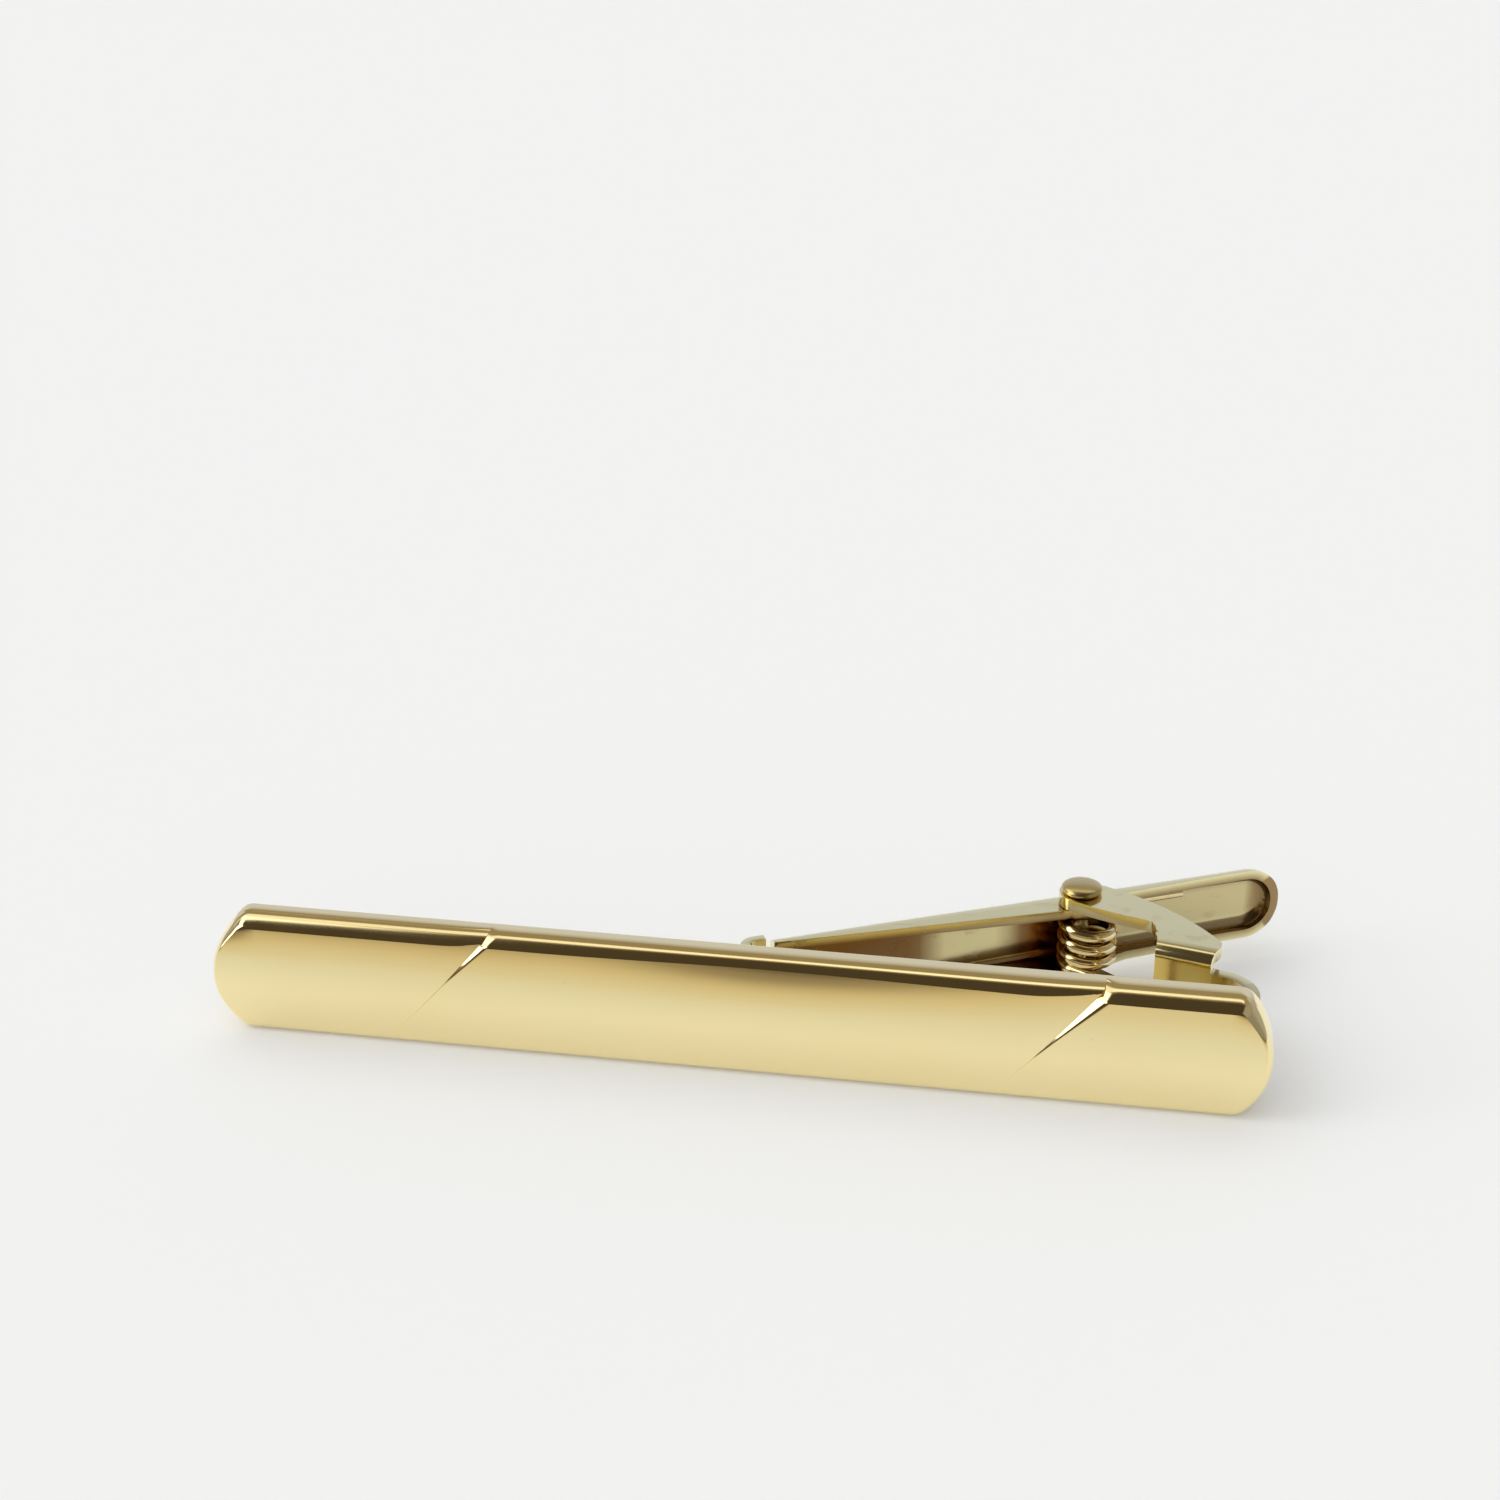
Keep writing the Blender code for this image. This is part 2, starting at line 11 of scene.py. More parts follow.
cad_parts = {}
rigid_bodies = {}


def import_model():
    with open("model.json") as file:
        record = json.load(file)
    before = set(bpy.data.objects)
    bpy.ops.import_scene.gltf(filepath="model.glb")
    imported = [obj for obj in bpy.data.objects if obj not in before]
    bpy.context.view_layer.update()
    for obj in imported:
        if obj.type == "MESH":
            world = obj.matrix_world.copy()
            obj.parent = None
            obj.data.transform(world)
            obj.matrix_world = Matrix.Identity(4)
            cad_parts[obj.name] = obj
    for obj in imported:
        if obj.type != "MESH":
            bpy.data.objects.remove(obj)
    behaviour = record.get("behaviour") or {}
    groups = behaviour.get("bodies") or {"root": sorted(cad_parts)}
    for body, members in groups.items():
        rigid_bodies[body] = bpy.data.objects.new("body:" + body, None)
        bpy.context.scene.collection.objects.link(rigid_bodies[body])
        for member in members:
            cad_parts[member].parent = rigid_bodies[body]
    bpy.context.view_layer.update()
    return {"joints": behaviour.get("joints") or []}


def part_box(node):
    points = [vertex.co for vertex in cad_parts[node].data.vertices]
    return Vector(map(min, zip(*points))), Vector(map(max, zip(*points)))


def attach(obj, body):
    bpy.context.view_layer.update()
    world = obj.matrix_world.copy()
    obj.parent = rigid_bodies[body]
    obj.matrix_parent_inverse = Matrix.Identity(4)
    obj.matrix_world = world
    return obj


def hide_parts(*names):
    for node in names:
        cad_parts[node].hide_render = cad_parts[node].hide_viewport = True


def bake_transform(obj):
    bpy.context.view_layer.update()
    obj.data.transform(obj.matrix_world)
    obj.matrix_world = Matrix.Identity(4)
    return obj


bl_info = {
    "name": "Sprung Tie Clip",
    "version": (1, 0, 0),
    "blender": (4, 5, 0),
    "location": "View3D > Sidebar > Tie Clip",
    "description": "Builds the pieces, finishes and studio of a sprung tie clip",
    "category": "Add Mesh",
}

for stray in list(bpy.data.objects):
    bpy.data.objects.remove(stray)
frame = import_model()

MM = 0.001
BAR_LOW, BAR_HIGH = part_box("front_bar")
RIVET_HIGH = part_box("pivot_rivet")[1]
PIVOT = Vector(frame["joints"][0]["pos_m"])
MID_Z = (BAR_LOW.z + BAR_HIGH.z) / 2

# Bar: rings of its front edge, points round an end, and where the end's edge changes its form.
BEVEL_RINGS = 25
CORNER_STEPS, END_STEPS = 12, 28
END_BLENDS, BLEND_POINTS = (12, 30), 9
# Stations along the bar: their distance, how they crowd at a cut, and the least width of a roll.
STATION_STEP = 0.5 * MM
NEAR_CUT = 0.9 * MM
BEFORE_CUT = (0.68, 0.5, 0.35, 0.22, 0.12, 0.05, 0.0)
ROLL_STEPS = 22
LEAST_ROLL, LEAST_DROP = 0.05 * MM, 0.015 * MM
ROLL_EASES = (0.7, 1.0)
ROLL_STRAIGHT = 0.25
# Which of the bar's upper crowns meet at each cut, and where the middle panel's edge is least.
CUT_RISES = ((0, 0), (2, 3))
LEAST_PLACE = 0.42
# The upper edge's shoulder: its first turn and its sweep in degrees, and how fast it turns at first.
SHOULDER_TURN, SHOULDER_SWEEP, SHOULDER_EASE, SHOULDER_STEPS = 9, 77.5, 0.3, 600
# Arm: the lobes round the pivot with the angle where they end, the rim's shoulder behind them, and
# places across the web.
LOBE, LOBE_END, LOBE_TOP = 0.95 * MM, 12, 2.3 * MM
SHOULDER = 3.0 * MM
ACROSS = (-1.0, -0.9454, -0.75, -0.5, -0.25, 0.0, 0.25, 0.5, 0.75, 0.9454, 1.0)
# Gap between pieces that lie on each other, as in the solids, and room beside a fold's first score.
SEAT_GAP, LIP_GAP, SCORE = 0.03 * MM, 0.05 * MM, 0.05 * MM
FOLD_STEPS = 60

# Colour, drift, hairlines and their direction, waves, marks, specks and relief of each gold.
FINISHES = {
    "bar": ("bar_gold", 0.10, 0.20, (60, 1500, 1500), 0.6, 0.3, 0.3, 0.25),
    "arm": ("sheet_gold", 0.06, 0.7, (90, 1600, 1600), 0.2, 0.12, 0.15, 0.5),
    "bracket": ("sheet_gold", 0.06, 0.7, (900, 900, 120), 0.2, 0.12, 0.15, 0.5),
    "rivet": ("rivet_gold", 0.1, 0.3, (900, 900, 900), 0.3, 0.3, 0.2, 0.4),
    "spring": ("wire_gold", 0.1, 0.5, (900, 900, 900), 0.2, 0.2, 0.1, 0.4),
}


def size(name, description, default):
    """Length property in metres."""
    return FloatProperty(name=name, description=description, default=default, unit="LENGTH",
                         subtype="DISTANCE", precision=5)


def sizes(name, description, default):
    """Lengths in metres that belong together."""
    return FloatVectorProperty(name=name, description=description, default=default,
                               size=len(default), unit="LENGTH", precision=5)


def number(name, description, default, least=0.0, most=1.0):
    """Share or plain number."""
    return FloatProperty(name=name, description=description, default=default, min=least, max=most)


def numbers(name, description, default):
    """Shares or plain numbers that belong together."""
    return FloatVectorProperty(name=name, description=description, default=default,
                               size=len(default), min=0.0)


def angle(name, description, degrees):
    """Angle property, given here in degrees."""
    return FloatProperty(name=name, description=description, default=math.radians(degrees),
                         unit="ROTATION", subtype="ANGLE")


def colour(name, description, default):
    """Colour property."""
    return FloatVectorProperty(name=name, description=description, default=default, size=3,
                               min=0.0, max=1.0, subtype="COLOR")


class TieClipBar(bpy.types.PropertyGroup):
    """Sizes of the front bar."""

    length: size("Length", "Length of the bar", BAR_HIGH.x - BAR_LOW.x)
    width: size("Width", "Width of the bar's front", BAR_HIGH.z - BAR_LOW.z)
    edge: size("Flat edge", "Thickness of the bar's flat long edges", 2 * BAR_HIGH.y)
    bevel: size("Bevel", "Radius of the rounded lower edge", 0.00060)
    shoulder: size("Shoulder", "Width of the rounded upper edge", 0.00048)
    shoulder_depth: size("Shoulder depth", "Depth of the rounded upper edge", 0.00110)
    edge_shares: numbers("Edge shares", "Size of the upper edge as a share: on the first panel, at the "
                         "middle panel's start, middle and end, on the last panel",
                         (0.95, 0.85, 0.66, 0.82, 0.95))
    rise: size("Crown", "How far the front's lower half falls back towards its long edge", 0.00020)
    rises: sizes("Upper crowns", "The same for the upper half: on the first panel, at the middle "
                 "panel's middle and end, on the last panel", (0.00030, 0.00043, 0.00020, 0.00015))
    end_edges: numbers("End edges", "Width of the left and right end's rounded edge against the lower one",
                       (0.42, 0.62))
    back_soft: size("Back edge", "Radius of the back's softened edge", 0.00013)
    end_radius: size("End radius", "Radius of the arched ends", 0.0044)
    end_corner: size("End corner", "Radius of the corners of the ends", 0.0011)
    edge_swell: size("Edge swell", "How far the flat edges swell at their middle", 0.000022)
    cuts: sizes("Cuts", "Places of the two diagonal cuts on the middle line", (-0.0153, 0.0160))
    cut_lean: size("Cut lean", "How far a cut runs along the bar over its width", 0.00565)
    cut_depths: sizes("Cut depths", "Depths of the cuts at the upper edge", (0.00026, 0.00040))
    rolls: sizes("Rolls", "Widths over which the panels behind the cuts roll into them",
                 (0.00040, 0.00062))
    runs: sizes("Runs", "Lengths over which the panels before the cuts slope down to them",
                (0.0028, 0.0039))
    run_eases: numbers("Run eases", "How gently the runs begin", (1.8, 1.6))
    lift: number("Lift", "How much the upper edge follows a sloping run, as a share", 0.25)


class TieClipArm(bpy.types.PropertyGroup):
    """Sizes of the clip arm."""

    width: size("Width", "Width of the channel over its sides", 0.00415)
    sheet: size("Sheet", "Thickness of the sheet", 0.0005)
    tilt: angle("Tilt", "Angle between the arm and the bar", 26.8)
    web: size("Web", "From the pivot to the outside of the web", 0.00172)
    thumb: size("Thumb end", "From the pivot to the thumb end", 0.0121)
    tip: size("Tip", "From the pivot to the end of the channel", 0.0168)
    thumb_corner: size("Thumb corner", "Radius of the thumb end's corners", 0.00198)
    fold: size("Fold", "Radius of the fold at the thumb end, at the sheet's middle", 0.00095)
    tip_fold: size("Tip fold", "Radius of the fold at the channel's end", 0.00045)
    rim_soft: size("Rim", "Rounding of the sheet's edges", 0.00019)
    lip_width: size("Lip width", "Width of the gripping lip", 0.0043)
    lip_bend: size("Lip bend", "Bend radius of the lip at the sheet's middle", 0.0007)


class TieClipBracket(bpy.types.PropertyGroup):
    """Sizes of the folded bracket."""

    sheet: size("Sheet", "Thickness of the sheet", 0.00065)
    inside: size("Ear inside", "From the middle plane to the inside of an ear", 0.002125)
    ear_radius: size("Ear radius", "Radius of an ear's round end", 0.00118)
    fold: size("Fold", "Length of the ears' folds along the sheet's middle", 0.00085)
    fold_ease: number("Fold ease", "How gently the fold ends at the ear", 3.0, 1.0, 9.0)
    plate_offset: size("Plate offset", "From the pivot to the plate's start, along the bar", 0.00406)
    plate_reach: size("Plate reach", "From the bar's back to the plate's start", 0.0039)
    plate_angle: angle("Plate angle", "Turn of the plate from the bar's direction", -13.3)
    plate_width: size("Plate width", "Width of the plate along the bar", 0.00265)
    strap_half: size("Strap half width", "Half of the strap's width", 0.001825)
    rim_soft: size("Rim", "Rounding of the sheet's edges", 0.00027)
    far_upper: size("Upper far edge", "How far the upper ear's far edge bows out", 0.00072)
    far_lower: size("Lower far edge", "How far the lower ear's far edge bows out", 0.00004)


class TieClipRivet(bpy.types.PropertyGroup):
    """Sizes of the pivot rivet."""

    shank: size("Shank radius", "Radius of the shank", 0.00045)
    head: size("Head radius", "Radius of the button heads", 0.00108)
    seat: size("Seat", "From the middle plane to a head's underside", 0.002805)
    facets: IntProperty(name="Facets", description="Facets round the rivet", default=72, min=12)


class TieClipSpring(bpy.types.PropertyGroup):
    """Sizes of the torsion spring."""

    wire: size("Wire", "Diameter of the wire", 0.00062)
    coil: size("Coil radius", "Radius of the coil at the wire's middle", 0.00129)
    pitch: size("Pitch", "Rise of the coil with each turn", 0.000826)
    close: size("Close pitch", "Rise of the lowest turn", 0.00064)
    ahead: size("Ahead", "How far the coil sits from the rivet towards the thumb end", 0.00029)
    turns: number("Turns", "Turns of the coil", 3.32, 1.0, 20.0)
    arm_leg: size("Arm leg", "Length of the leg along the arm", 0.0060)
    facets: IntProperty(name="Facets", description="Facets round the wire", default=28, min=8)
    step: size("Step", "Distance between the rings of the wire", 0.00008)


class TieClipFinish(bpy.types.PropertyGroup):
    """Colours and polish of the metal and the studio."""

    bar_gold: colour("Bar gold", "Colour of the polished front bar", (0.94, 0.76, 0.39))
    sheet_gold: colour("Sheet gold", "Colour of the satin sheet pieces", (0.87, 0.75, 0.39))
    rivet_gold: colour("Rivet gold", "Colour of the rivet", (0.64, 0.49, 0.21))
    wire_gold: colour("Wire gold", "Colour of the drawn wire", (0.88, 0.70, 0.37))
    bar_polish: number("Bar roughness", "Roughness of the polished bar", 0.09)
    arm_polish: number("Arm roughness", "Roughness of the arm's satin sheet", 0.18)
    bracket_polish: number("Bracket roughness", "Roughness of the bracket's satin sheet", 0.15)
    rivet_polish: number("Rivet roughness", "Roughness of the rivet", 0.27)
    spring_polish: number("Wire roughness", "Roughness of the wire", 0.16)
    floor: colour("Floor", "Colour of the studio floor", (0.80, 0.80, 0.79))
    floor_glow: number("Floor glow", "Light that the floor gives by itself", 0.15)


def arc(centre, radius, start, end, steps):
    """Points of an arc between two angles in degrees."""
    turns = [math.radians(turn) for turn in spread(start, end, steps)]
    return [(centre[0] + radius * math.cos(t), centre[1] + radius * math.sin(t)) for t in turns]


def arc_between(first, last, bulge, steps):
    """Points of the arc between two points that stands out by a bulge on the left."""
    a, b = Vector(first), Vector(last)
    along = (b - a).normalized()
    half = (b - a).length / 2
    radius = (half**2 + bulge**2) / (2 * bulge)
    centre = (a + b) / 2 + Vector((-along.y, along.x)) * (bulge - radius)
    start = a - centre
    turn = 2 * math.asin(min(half / abs(radius), 1.0)) * (-1 if bulge > 0 else 1)
    points = []
    for done in spread(0, turn, steps):
        c, s = math.cos(done), math.sin(done)
        points.append((centre.x + c * start.x - s * start.y, centre.y + s * start.x + c * start.y))
    return points


def spread(first, last, steps):
    """Values at even steps from the first to the last."""
    return [first + (last - first) * i / steps for i in range(steps + 1)]


def smooth(share):
    """Smooth step from 0 to 1."""
    share = min(max(share, 0.0), 1.0)
    return share * share * (3 - 2 * share)


def on_line(x, first, last):
    """Height of the line through two points at a place."""
    return first[1] + (last[1] - first[1]) * (x - first[0]) / (last[0] - first[0])


def skin(rows, closed=False):
    """Faces between each row of points and the next one."""
    faces = []
    for low, high in zip(rows, rows[1:]):
        count = len(low)
        for i in range(count if closed else count - 1):
            j = (i + 1) % count
            faces.append((low[i], low[j], high[j], high[i]))
    return faces


def add_row(verts, places):
    """Add points and return their numbers."""
    verts.extend(places)
    return list(range(len(verts) - len(places), len(verts)))


def new_object(name, data):
    """New object in the scene."""
    made = bpy.data.objects.new(name, data)
    bpy.context.scene.collection.objects.link(made)
    return made


def piece_from(name, verts, faces):
    """Mesh piece with merged points and faces that point outwards."""
    merge = 5e-7
    bm = bmesh.new()
    points = [bm.verts.new(v) for v in verts]
    for face in faces:
        bm.faces.new([points[i] for i in face])
    bmesh.ops.remove_doubles(bm, verts=bm.verts, dist=merge)
    bmesh.ops.dissolve_degenerate(bm, edges=bm.edges, dist=merge)
    bmesh.ops.recalc_face_normals(bm, faces=bm.faces)
    mesh = bpy.data.meshes.new(name)
    bm.to_mesh(mesh)
    bm.free()
    return new_object(name, mesh)


def settle(obj):
    """Turn an object with its modifiers into a plain mesh."""
    graph = bpy.context.evaluated_depsgraph_get()
    done = bpy.data.meshes.new_from_object(obj.evaluated_get(graph))
    obj.modifiers.clear()
    if obj.type != "MESH":
        return new_object(obj.name + "_mesh", done)
    old = obj.data
    obj.data = done
    bpy.data.meshes.remove(old)
    return obj


def shade(obj, sharp):
    """Smooth shading between edges sharper than an angle in degrees."""
    obj.data.shade_smooth()
    obj.data.set_sharp_from_angle(angle=math.radians(sharp))


def paint_shade(obj, shade_of):
    """Note on each point how much painted shade darkens its gold, from 0 to 1, mostly in recesses where
    shade falls.
    """
    layer = obj.data.attributes.new("hollow", "FLOAT", "POINT")
    layer.data.foreach_set("value", [min(max(shade_of(v.co), 0.0), 1.0) for v in obj.data.vertices])


def dress(obj, material, node, body):
    """Give a piece its finish, hide the solid it stands for and put it on its body."""
    if not obj.data.polygons:
        raise RuntimeError(f"{obj.name} came out empty")
    obj.data.materials.clear()
    obj.data.materials.append(material)
    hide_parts(node)
    if body:
        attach(obj, body)


def node(tree, kind, values=None, **settings):
    """New node with its inputs linked or set by name or index."""
    made = tree.nodes.new(kind)
    for key, value in settings.items():
        setattr(made, key, value)
    for key, value in (values or {}).items():
        feed(tree, made.inputs[key], value)
    return made


def feed(tree, socket, value):
    """Link or set an input."""
    if isinstance(value, bpy.types.NodeSocket):
        tree.links.new(value, socket)
    else:
        socket.default_value = value


def maths(tree, operation, *values, clamp=False):
    """Output of a Math node."""
    return node(tree, "ShaderNodeMath", dict(enumerate(values)), operation=operation,
                use_clamp=clamp).outputs[0]


def vector_maths(tree, operation, *values):
    """Output of a Vector Math node."""
    made = node(tree, "ShaderNodeVectorMath", dict(enumerate(values)), operation=operation)
    return made.outputs["Value" if operation == "DOT_PRODUCT" else "Vector"]


def mix_colour(tree, share, first, second, blend="MIX"):
    """Output of a colour Mix node; plain colours are given as red, green and blue."""
    first, second = ((*c, 1.0) if isinstance(c, tuple) else c for c in (first, second))
    return node(tree, "ShaderNodeMix", {0: share, 6: first, 7: second}, data_type="RGBA",
                blend_type=blend).outputs[2]


def ramp(tree, value, low, high):
    """Smooth mask that rises from 0 to 1 between two values."""
    return node(tree, "ShaderNodeMapRange", {0: value, 1: low, 2: high},
                interpolation_type="SMOOTHSTEP").outputs[0]


def noise(tree, place, scale, detail, roughness=0.5):
    """Values of a noise texture."""
    return node(tree, "ShaderNodeTexNoise", {"Vector": place, "Scale": scale, "Detail": detail,
                                             "Roughness": roughness}).outputs["Fac"]


def new_group(name, inputs, outputs):
    """Shader node group with named sockets; its ends are None if it is there already."""
    if name in bpy.data.node_groups:
        return bpy.data.node_groups[name], None, None
    group = bpy.data.node_groups.new(name, "ShaderNodeTree")
    for label, kind, default in inputs:
        socket = group.interface.new_socket(label, in_out="INPUT", socket_type="NodeSocket" + kind)
        if default is not None:
            socket.default_value = default
    for label, kind in outputs:
        group.interface.new_socket(label, in_out="OUTPUT", socket_type="NodeSocket" + kind)
    given, out = group.nodes.new("NodeGroupInput"), group.nodes.new("NodeGroupOutput")
    return group, given.outputs, out.inputs


def polish_group():
    """Tiny unevenness that polishing leaves: drifts of colour and gloss, hairlines and waves."""
    group, given, out = new_group(
        "gold_polish",
        [("Vector", "Vector", None), ("Colour", "Color", (1, 1, 1, 1)), ("Roughness", "Float", 0.1),
         ("Drift", "Float", 0.1), ("Hairlines", "Float", 0.2), ("Direction", "Vector", (60, 1500, 1500)),
         ("Waves", "Float", 0.3)],
        [("Colour", "Color"), ("Roughness", "Float"), ("Height", "Float")],
    )
    if given is None:
        return group
    broad = noise(group, given["Vector"], 160.0, 3.0)
    fine = noise(group, given["Vector"], 2600.0, 2.0)
    lines = noise(group, vector_maths(group, "MULTIPLY", given["Vector"], given["Direction"]), 1.0, 4.0)
    shift = maths(group, "MULTIPLY", maths(group, "SUBTRACT", broad, 0.5), given["Drift"])
    deep = mix_colour(group, 0.35, given["Colour"], (0.80, 0.58, 0.26), "MULTIPLY")
    tone = maths(group, "MULTIPLY", ramp(group, broad, 0.30, 0.80), given["Drift"])
    lined = maths(group, "MULTIPLY", ramp(group, lines, 0.56, 0.74), given["Hairlines"])
    rough = maths(group, "MULTIPLY_ADD", shift, 0.5, given["Roughness"])
    height = maths(group, "MULTIPLY_ADD", fine, 0.02, maths(group, "MULTIPLY", broad, given["Waves"]))
    feed(group, out["Colour"], mix_colour(group, tone, given["Colour"], deep))
    feed(group, out["Roughness"], maths(group, "MULTIPLY_ADD", lined, 0.25, rough, clamp=True))
    feed(group, out["Height"], maths(group, "MULTIPLY_ADD", lined, 0.05, height))
    return group


def handling_group():
    """Faint finger marks and a few specks of dust."""
    group, given, out = new_group(
        "handling_marks",
        [("Vector", "Vector", None), ("Marks", "Float", 0.2), ("Specks", "Float", 0.3)],
        [("Smear", "Float"), ("Speck", "Float")],
    )
    if given is None:
        return group
    cloud = noise(group, given["Vector"], 95.0, 5.0, 0.65)
    cells = node(group, "ShaderNodeTexVoronoi", {"Vector": given["Vector"], "Scale": 900.0})
    dot = maths(group, "LESS_THAN", cells.outputs["Distance"], 0.075)
    pick = node(group, "ShaderNodeTexWhiteNoise", {"Vector": cells.outputs["Position"]})
    some = maths(group, "GREATER_THAN", pick.outputs["Value"], 0.93)
    specks = maths(group, "MULTIPLY", dot, some)
    feed(group, out["Smear"], maths(group, "MULTIPLY", ramp(group, cloud, 0.42, 0.80), given["Marks"]))
    feed(group, out["Speck"], maths(group, "MULTIPLY", specks, given["Specks"]))
    return group


def finish_of(kind):
    """The gold of one piece with its own polish, marks and specks, made once."""
    name = f"{kind}_gold_finish"
    if name in bpy.data.materials:
        return bpy.data.materials[name]
    look = bpy.context.scene.tie_clip_finish
    tone, drift, hairlines, direction, waves, marks, specks, bump = FINISHES[kind]
    material = bpy.data.materials.new(name)
    material.use_nodes = True
    tree = material.node_tree
    shader = tree.nodes["Principled BSDF"].inputs
    shader["Metallic"].default_value = 1.0
    place = node(tree, "ShaderNodeTexCoord").outputs["Object"]
    polish = node(
        tree, "ShaderNodeGroup",
        {"Vector": place, "Colour": (*getattr(look, tone), 1.0),
         "Roughness": getattr(look, kind + "_polish"), "Drift": drift, "Hairlines": hairlines,
         "Direction": direction, "Waves": waves},
        node_tree=polish_group(),
    ).outputs
    handling = node(tree, "ShaderNodeGroup", {"Vector": place, "Marks": marks, "Specks": specks},
                    node_tree=handling_group()).outputs
    # Painted shade: where a piece noted it, the gold is darkened towards a dark brown.
    hollow = node(tree, "ShaderNodeAttribute", attribute_name="hollow").outputs["Fac"]
    shade_tint = mix_colour(tree, 1.0, polish["Colour"], (0.22, 0.10, 0.04), "MULTIPLY")
    edge_fall_and_shaded_gold = mix_colour(tree, hollow, polish["Colour"], shade_tint)
    feed(tree, shader["Base Color"], mix_colour(tree, handling["Speck"], edge_fall_and_shaded_gold, (0.75, 0.72, 0.66)))
    rough = maths(tree, "MULTIPLY_ADD", handling["Smear"], 0.12, polish["Roughness"])
    feed(tree, shader["Roughness"], maths(tree, "MULTIPLY_ADD", handling["Speck"], 0.5, rough, clamp=True))
    relief = node(tree, "ShaderNodeBump", {"Strength": bump, "Distance": 0.04 * MM,
                                           "Height": polish["Height"]})
    feed(tree, shader["Normal"], relief.outputs["Normal"])
    return material


def bar_end(bar, inset):
    """Points round the bar's right end, from its lower long edge to its upper one."""
    inset += bar.edge_swell
    centre = bar.length / 2 - bar.end_radius
    rise = bar.width / 2 - bar.end_corner
    corner = centre + math.sqrt((bar.end_radius - bar.end_corner) ** 2 - rise**2)
    turn = math.degrees(math.atan2(rise, corner - centre))
    lower = arc((corner, -rise), bar.end_corner - inset, -90, -turn, CORNER_STEPS)
    end = arc((centre, 0), bar.end_radius - inset, -turn, turn, END_STEPS)
    upper = arc((corner, rise), bar.end_corner - inset, turn, 90, CORNER_STEPS)
    return [(x, z + MID_Z) for x, z in lower + end[1:-1] + upper]


def crown(bar, z, rise):
    """The crowned front's Y at a height, with the upper half's own rise."""
    half = bar.width / 2
    rise = rise if z > MID_Z else bar.rise
    radius = (half**2 + rise**2) / (2 * rise)
    return BAR_LOW.y + radius - math.sqrt(radius**2 - min(abs(z - MID_Z), half) ** 2)


def bar_stations(bar, reach):
    """Stations along the bar as (panel, anchor, lean, offset, roll), crowded and leaning at the cuts."""
    starts = (-reach, *(cut + 2.4 * NEAR_CUT for cut in bar.cuts))
    ends = (*(cut - NEAR_CUT for cut in bar.cuts), reach)
    stations = []
    for panel, (first, last) in enumerate(zip(starts, ends)):
        for x in spread(first, last, max(round((last - first) / STATION_STEP), 2)):
            lean = ((x - first) / (last - first), 1.0, (last - x) / (last - first))[panel]
            stations.append((panel, x, lean, 0.0, None))
        if panel < 2:
            cut = bar.cuts[panel]
            stations += [(panel, cut, 1.0, -offset * MM, None) for offset in BEFORE_CUT]
            stations += [(panel + 1, cut, 1.0, 0.0, roll) for roll in spread(0, 1, ROLL_STEPS)]
            stations.append((panel + 1, cut, 1.0, 2.1 * NEAR_CUT, None))
    return stations


def leaning(bar, z):
    """How far a cut has run along the bar at a height."""
    return bar.cut_lean * ((z - BAR_LOW.z) / bar.width - 0.5)


def run_depth(bar, cut, x):
    """How far the panel before a cut has sloped back at a place along the bar."""
    start = bar.cuts[cut] + leaning(bar, BAR_HIGH.z) - bar.runs[cut]
    return bar.cut_depths[cut] * max((x - start) / bar.runs[cut], 0.0) ** bar.run_eases[cut]


def roll_width(bar, cut, z):
    """Width along the bar over which the panel behind a cut rolls into it."""
    depth = run_depth(bar, cut, bar.cuts[cut] + leaning(bar, z)) / bar.cut_depths[cut]
    width = bar.rolls[cut] * depth ** ROLL_EASES[cut] + LEAST_ROLL
    return width * math.hypot(bar.width, bar.cut_lean) / bar.width


def station_x(bar, station, z):
    """X of a station at a height."""
    panel, anchor, lean, offset, roll = station
    x = anchor + lean * leaning(bar, z) + offset
    return x if roll is None else x + roll * roll_width(bar, panel - 1, z)


def rolled(share):
    """Depth of the roll into a cut as a share, at a share of its width: straight, then rounding off."""
    if share >= 1:
        return 0.0
    rest = 1 - ROLL_STRAIGHT
    v = max((share - ROLL_STRAIGHT) / rest, 0.0)
    round_part = rest * ((1 - v) - 0.5 + v**3 - v**4 / 2)
    return (round_part + max(ROLL_STRAIGHT - share, 0.0)) / (ROLL_STRAIGHT + rest / 2)


def edge_form(bar, station):
    """Width, depth and crown of the upper edge at a station."""
    panel, x, _, offset, _ = station
    first, middle, late, last = bar.rises
    edge_first, edge_early, edge_least, edge_late, edge_last = bar.edge_shares
    if panel == 1:
        start = bar.cuts[0] + leaning(bar, BAR_HIGH.z)
        end = bar.cuts[1]
        peak = start + LEAST_PLACE * (end - start)
        x += offset
        into, out = smooth((x - start) / (peak - start)), smooth((x - peak) / (end - peak))
        rise = first + (middle - first) * into + (late - middle) * out
        share = edge_early + (edge_least - edge_early) * into + (edge_late - edge_least) * out
    else:
        rise, share = (last, edge_last) if panel else (first, edge_first)
    return bar.shoulder * share, bar.shoulder_depth * share, rise


def fronts(bar, station, x, z, rise):
    """The face's Y at a place, its slope back before a cut, and the depth of its roll into a cut."""
    panel = station[0]
    run = run_depth(bar, panel, x) if panel < 2 else 0.0
    roll = 0.0
    if panel > 0:
        cut = panel - 1
        place = bar.cuts[cut] + leaning(bar, z)
        before, behind = (crown(bar, z, bar.rises[rise_at]) for rise_at in CUT_RISES[cut])
        drop = before + run_depth(bar, cut, place) - behind
        roll = max(drop, LEAST_DROP) * rolled(max((x - place) / roll_width(bar, cut, z), 0.0))
    return crown(bar, z, rise), run, roll


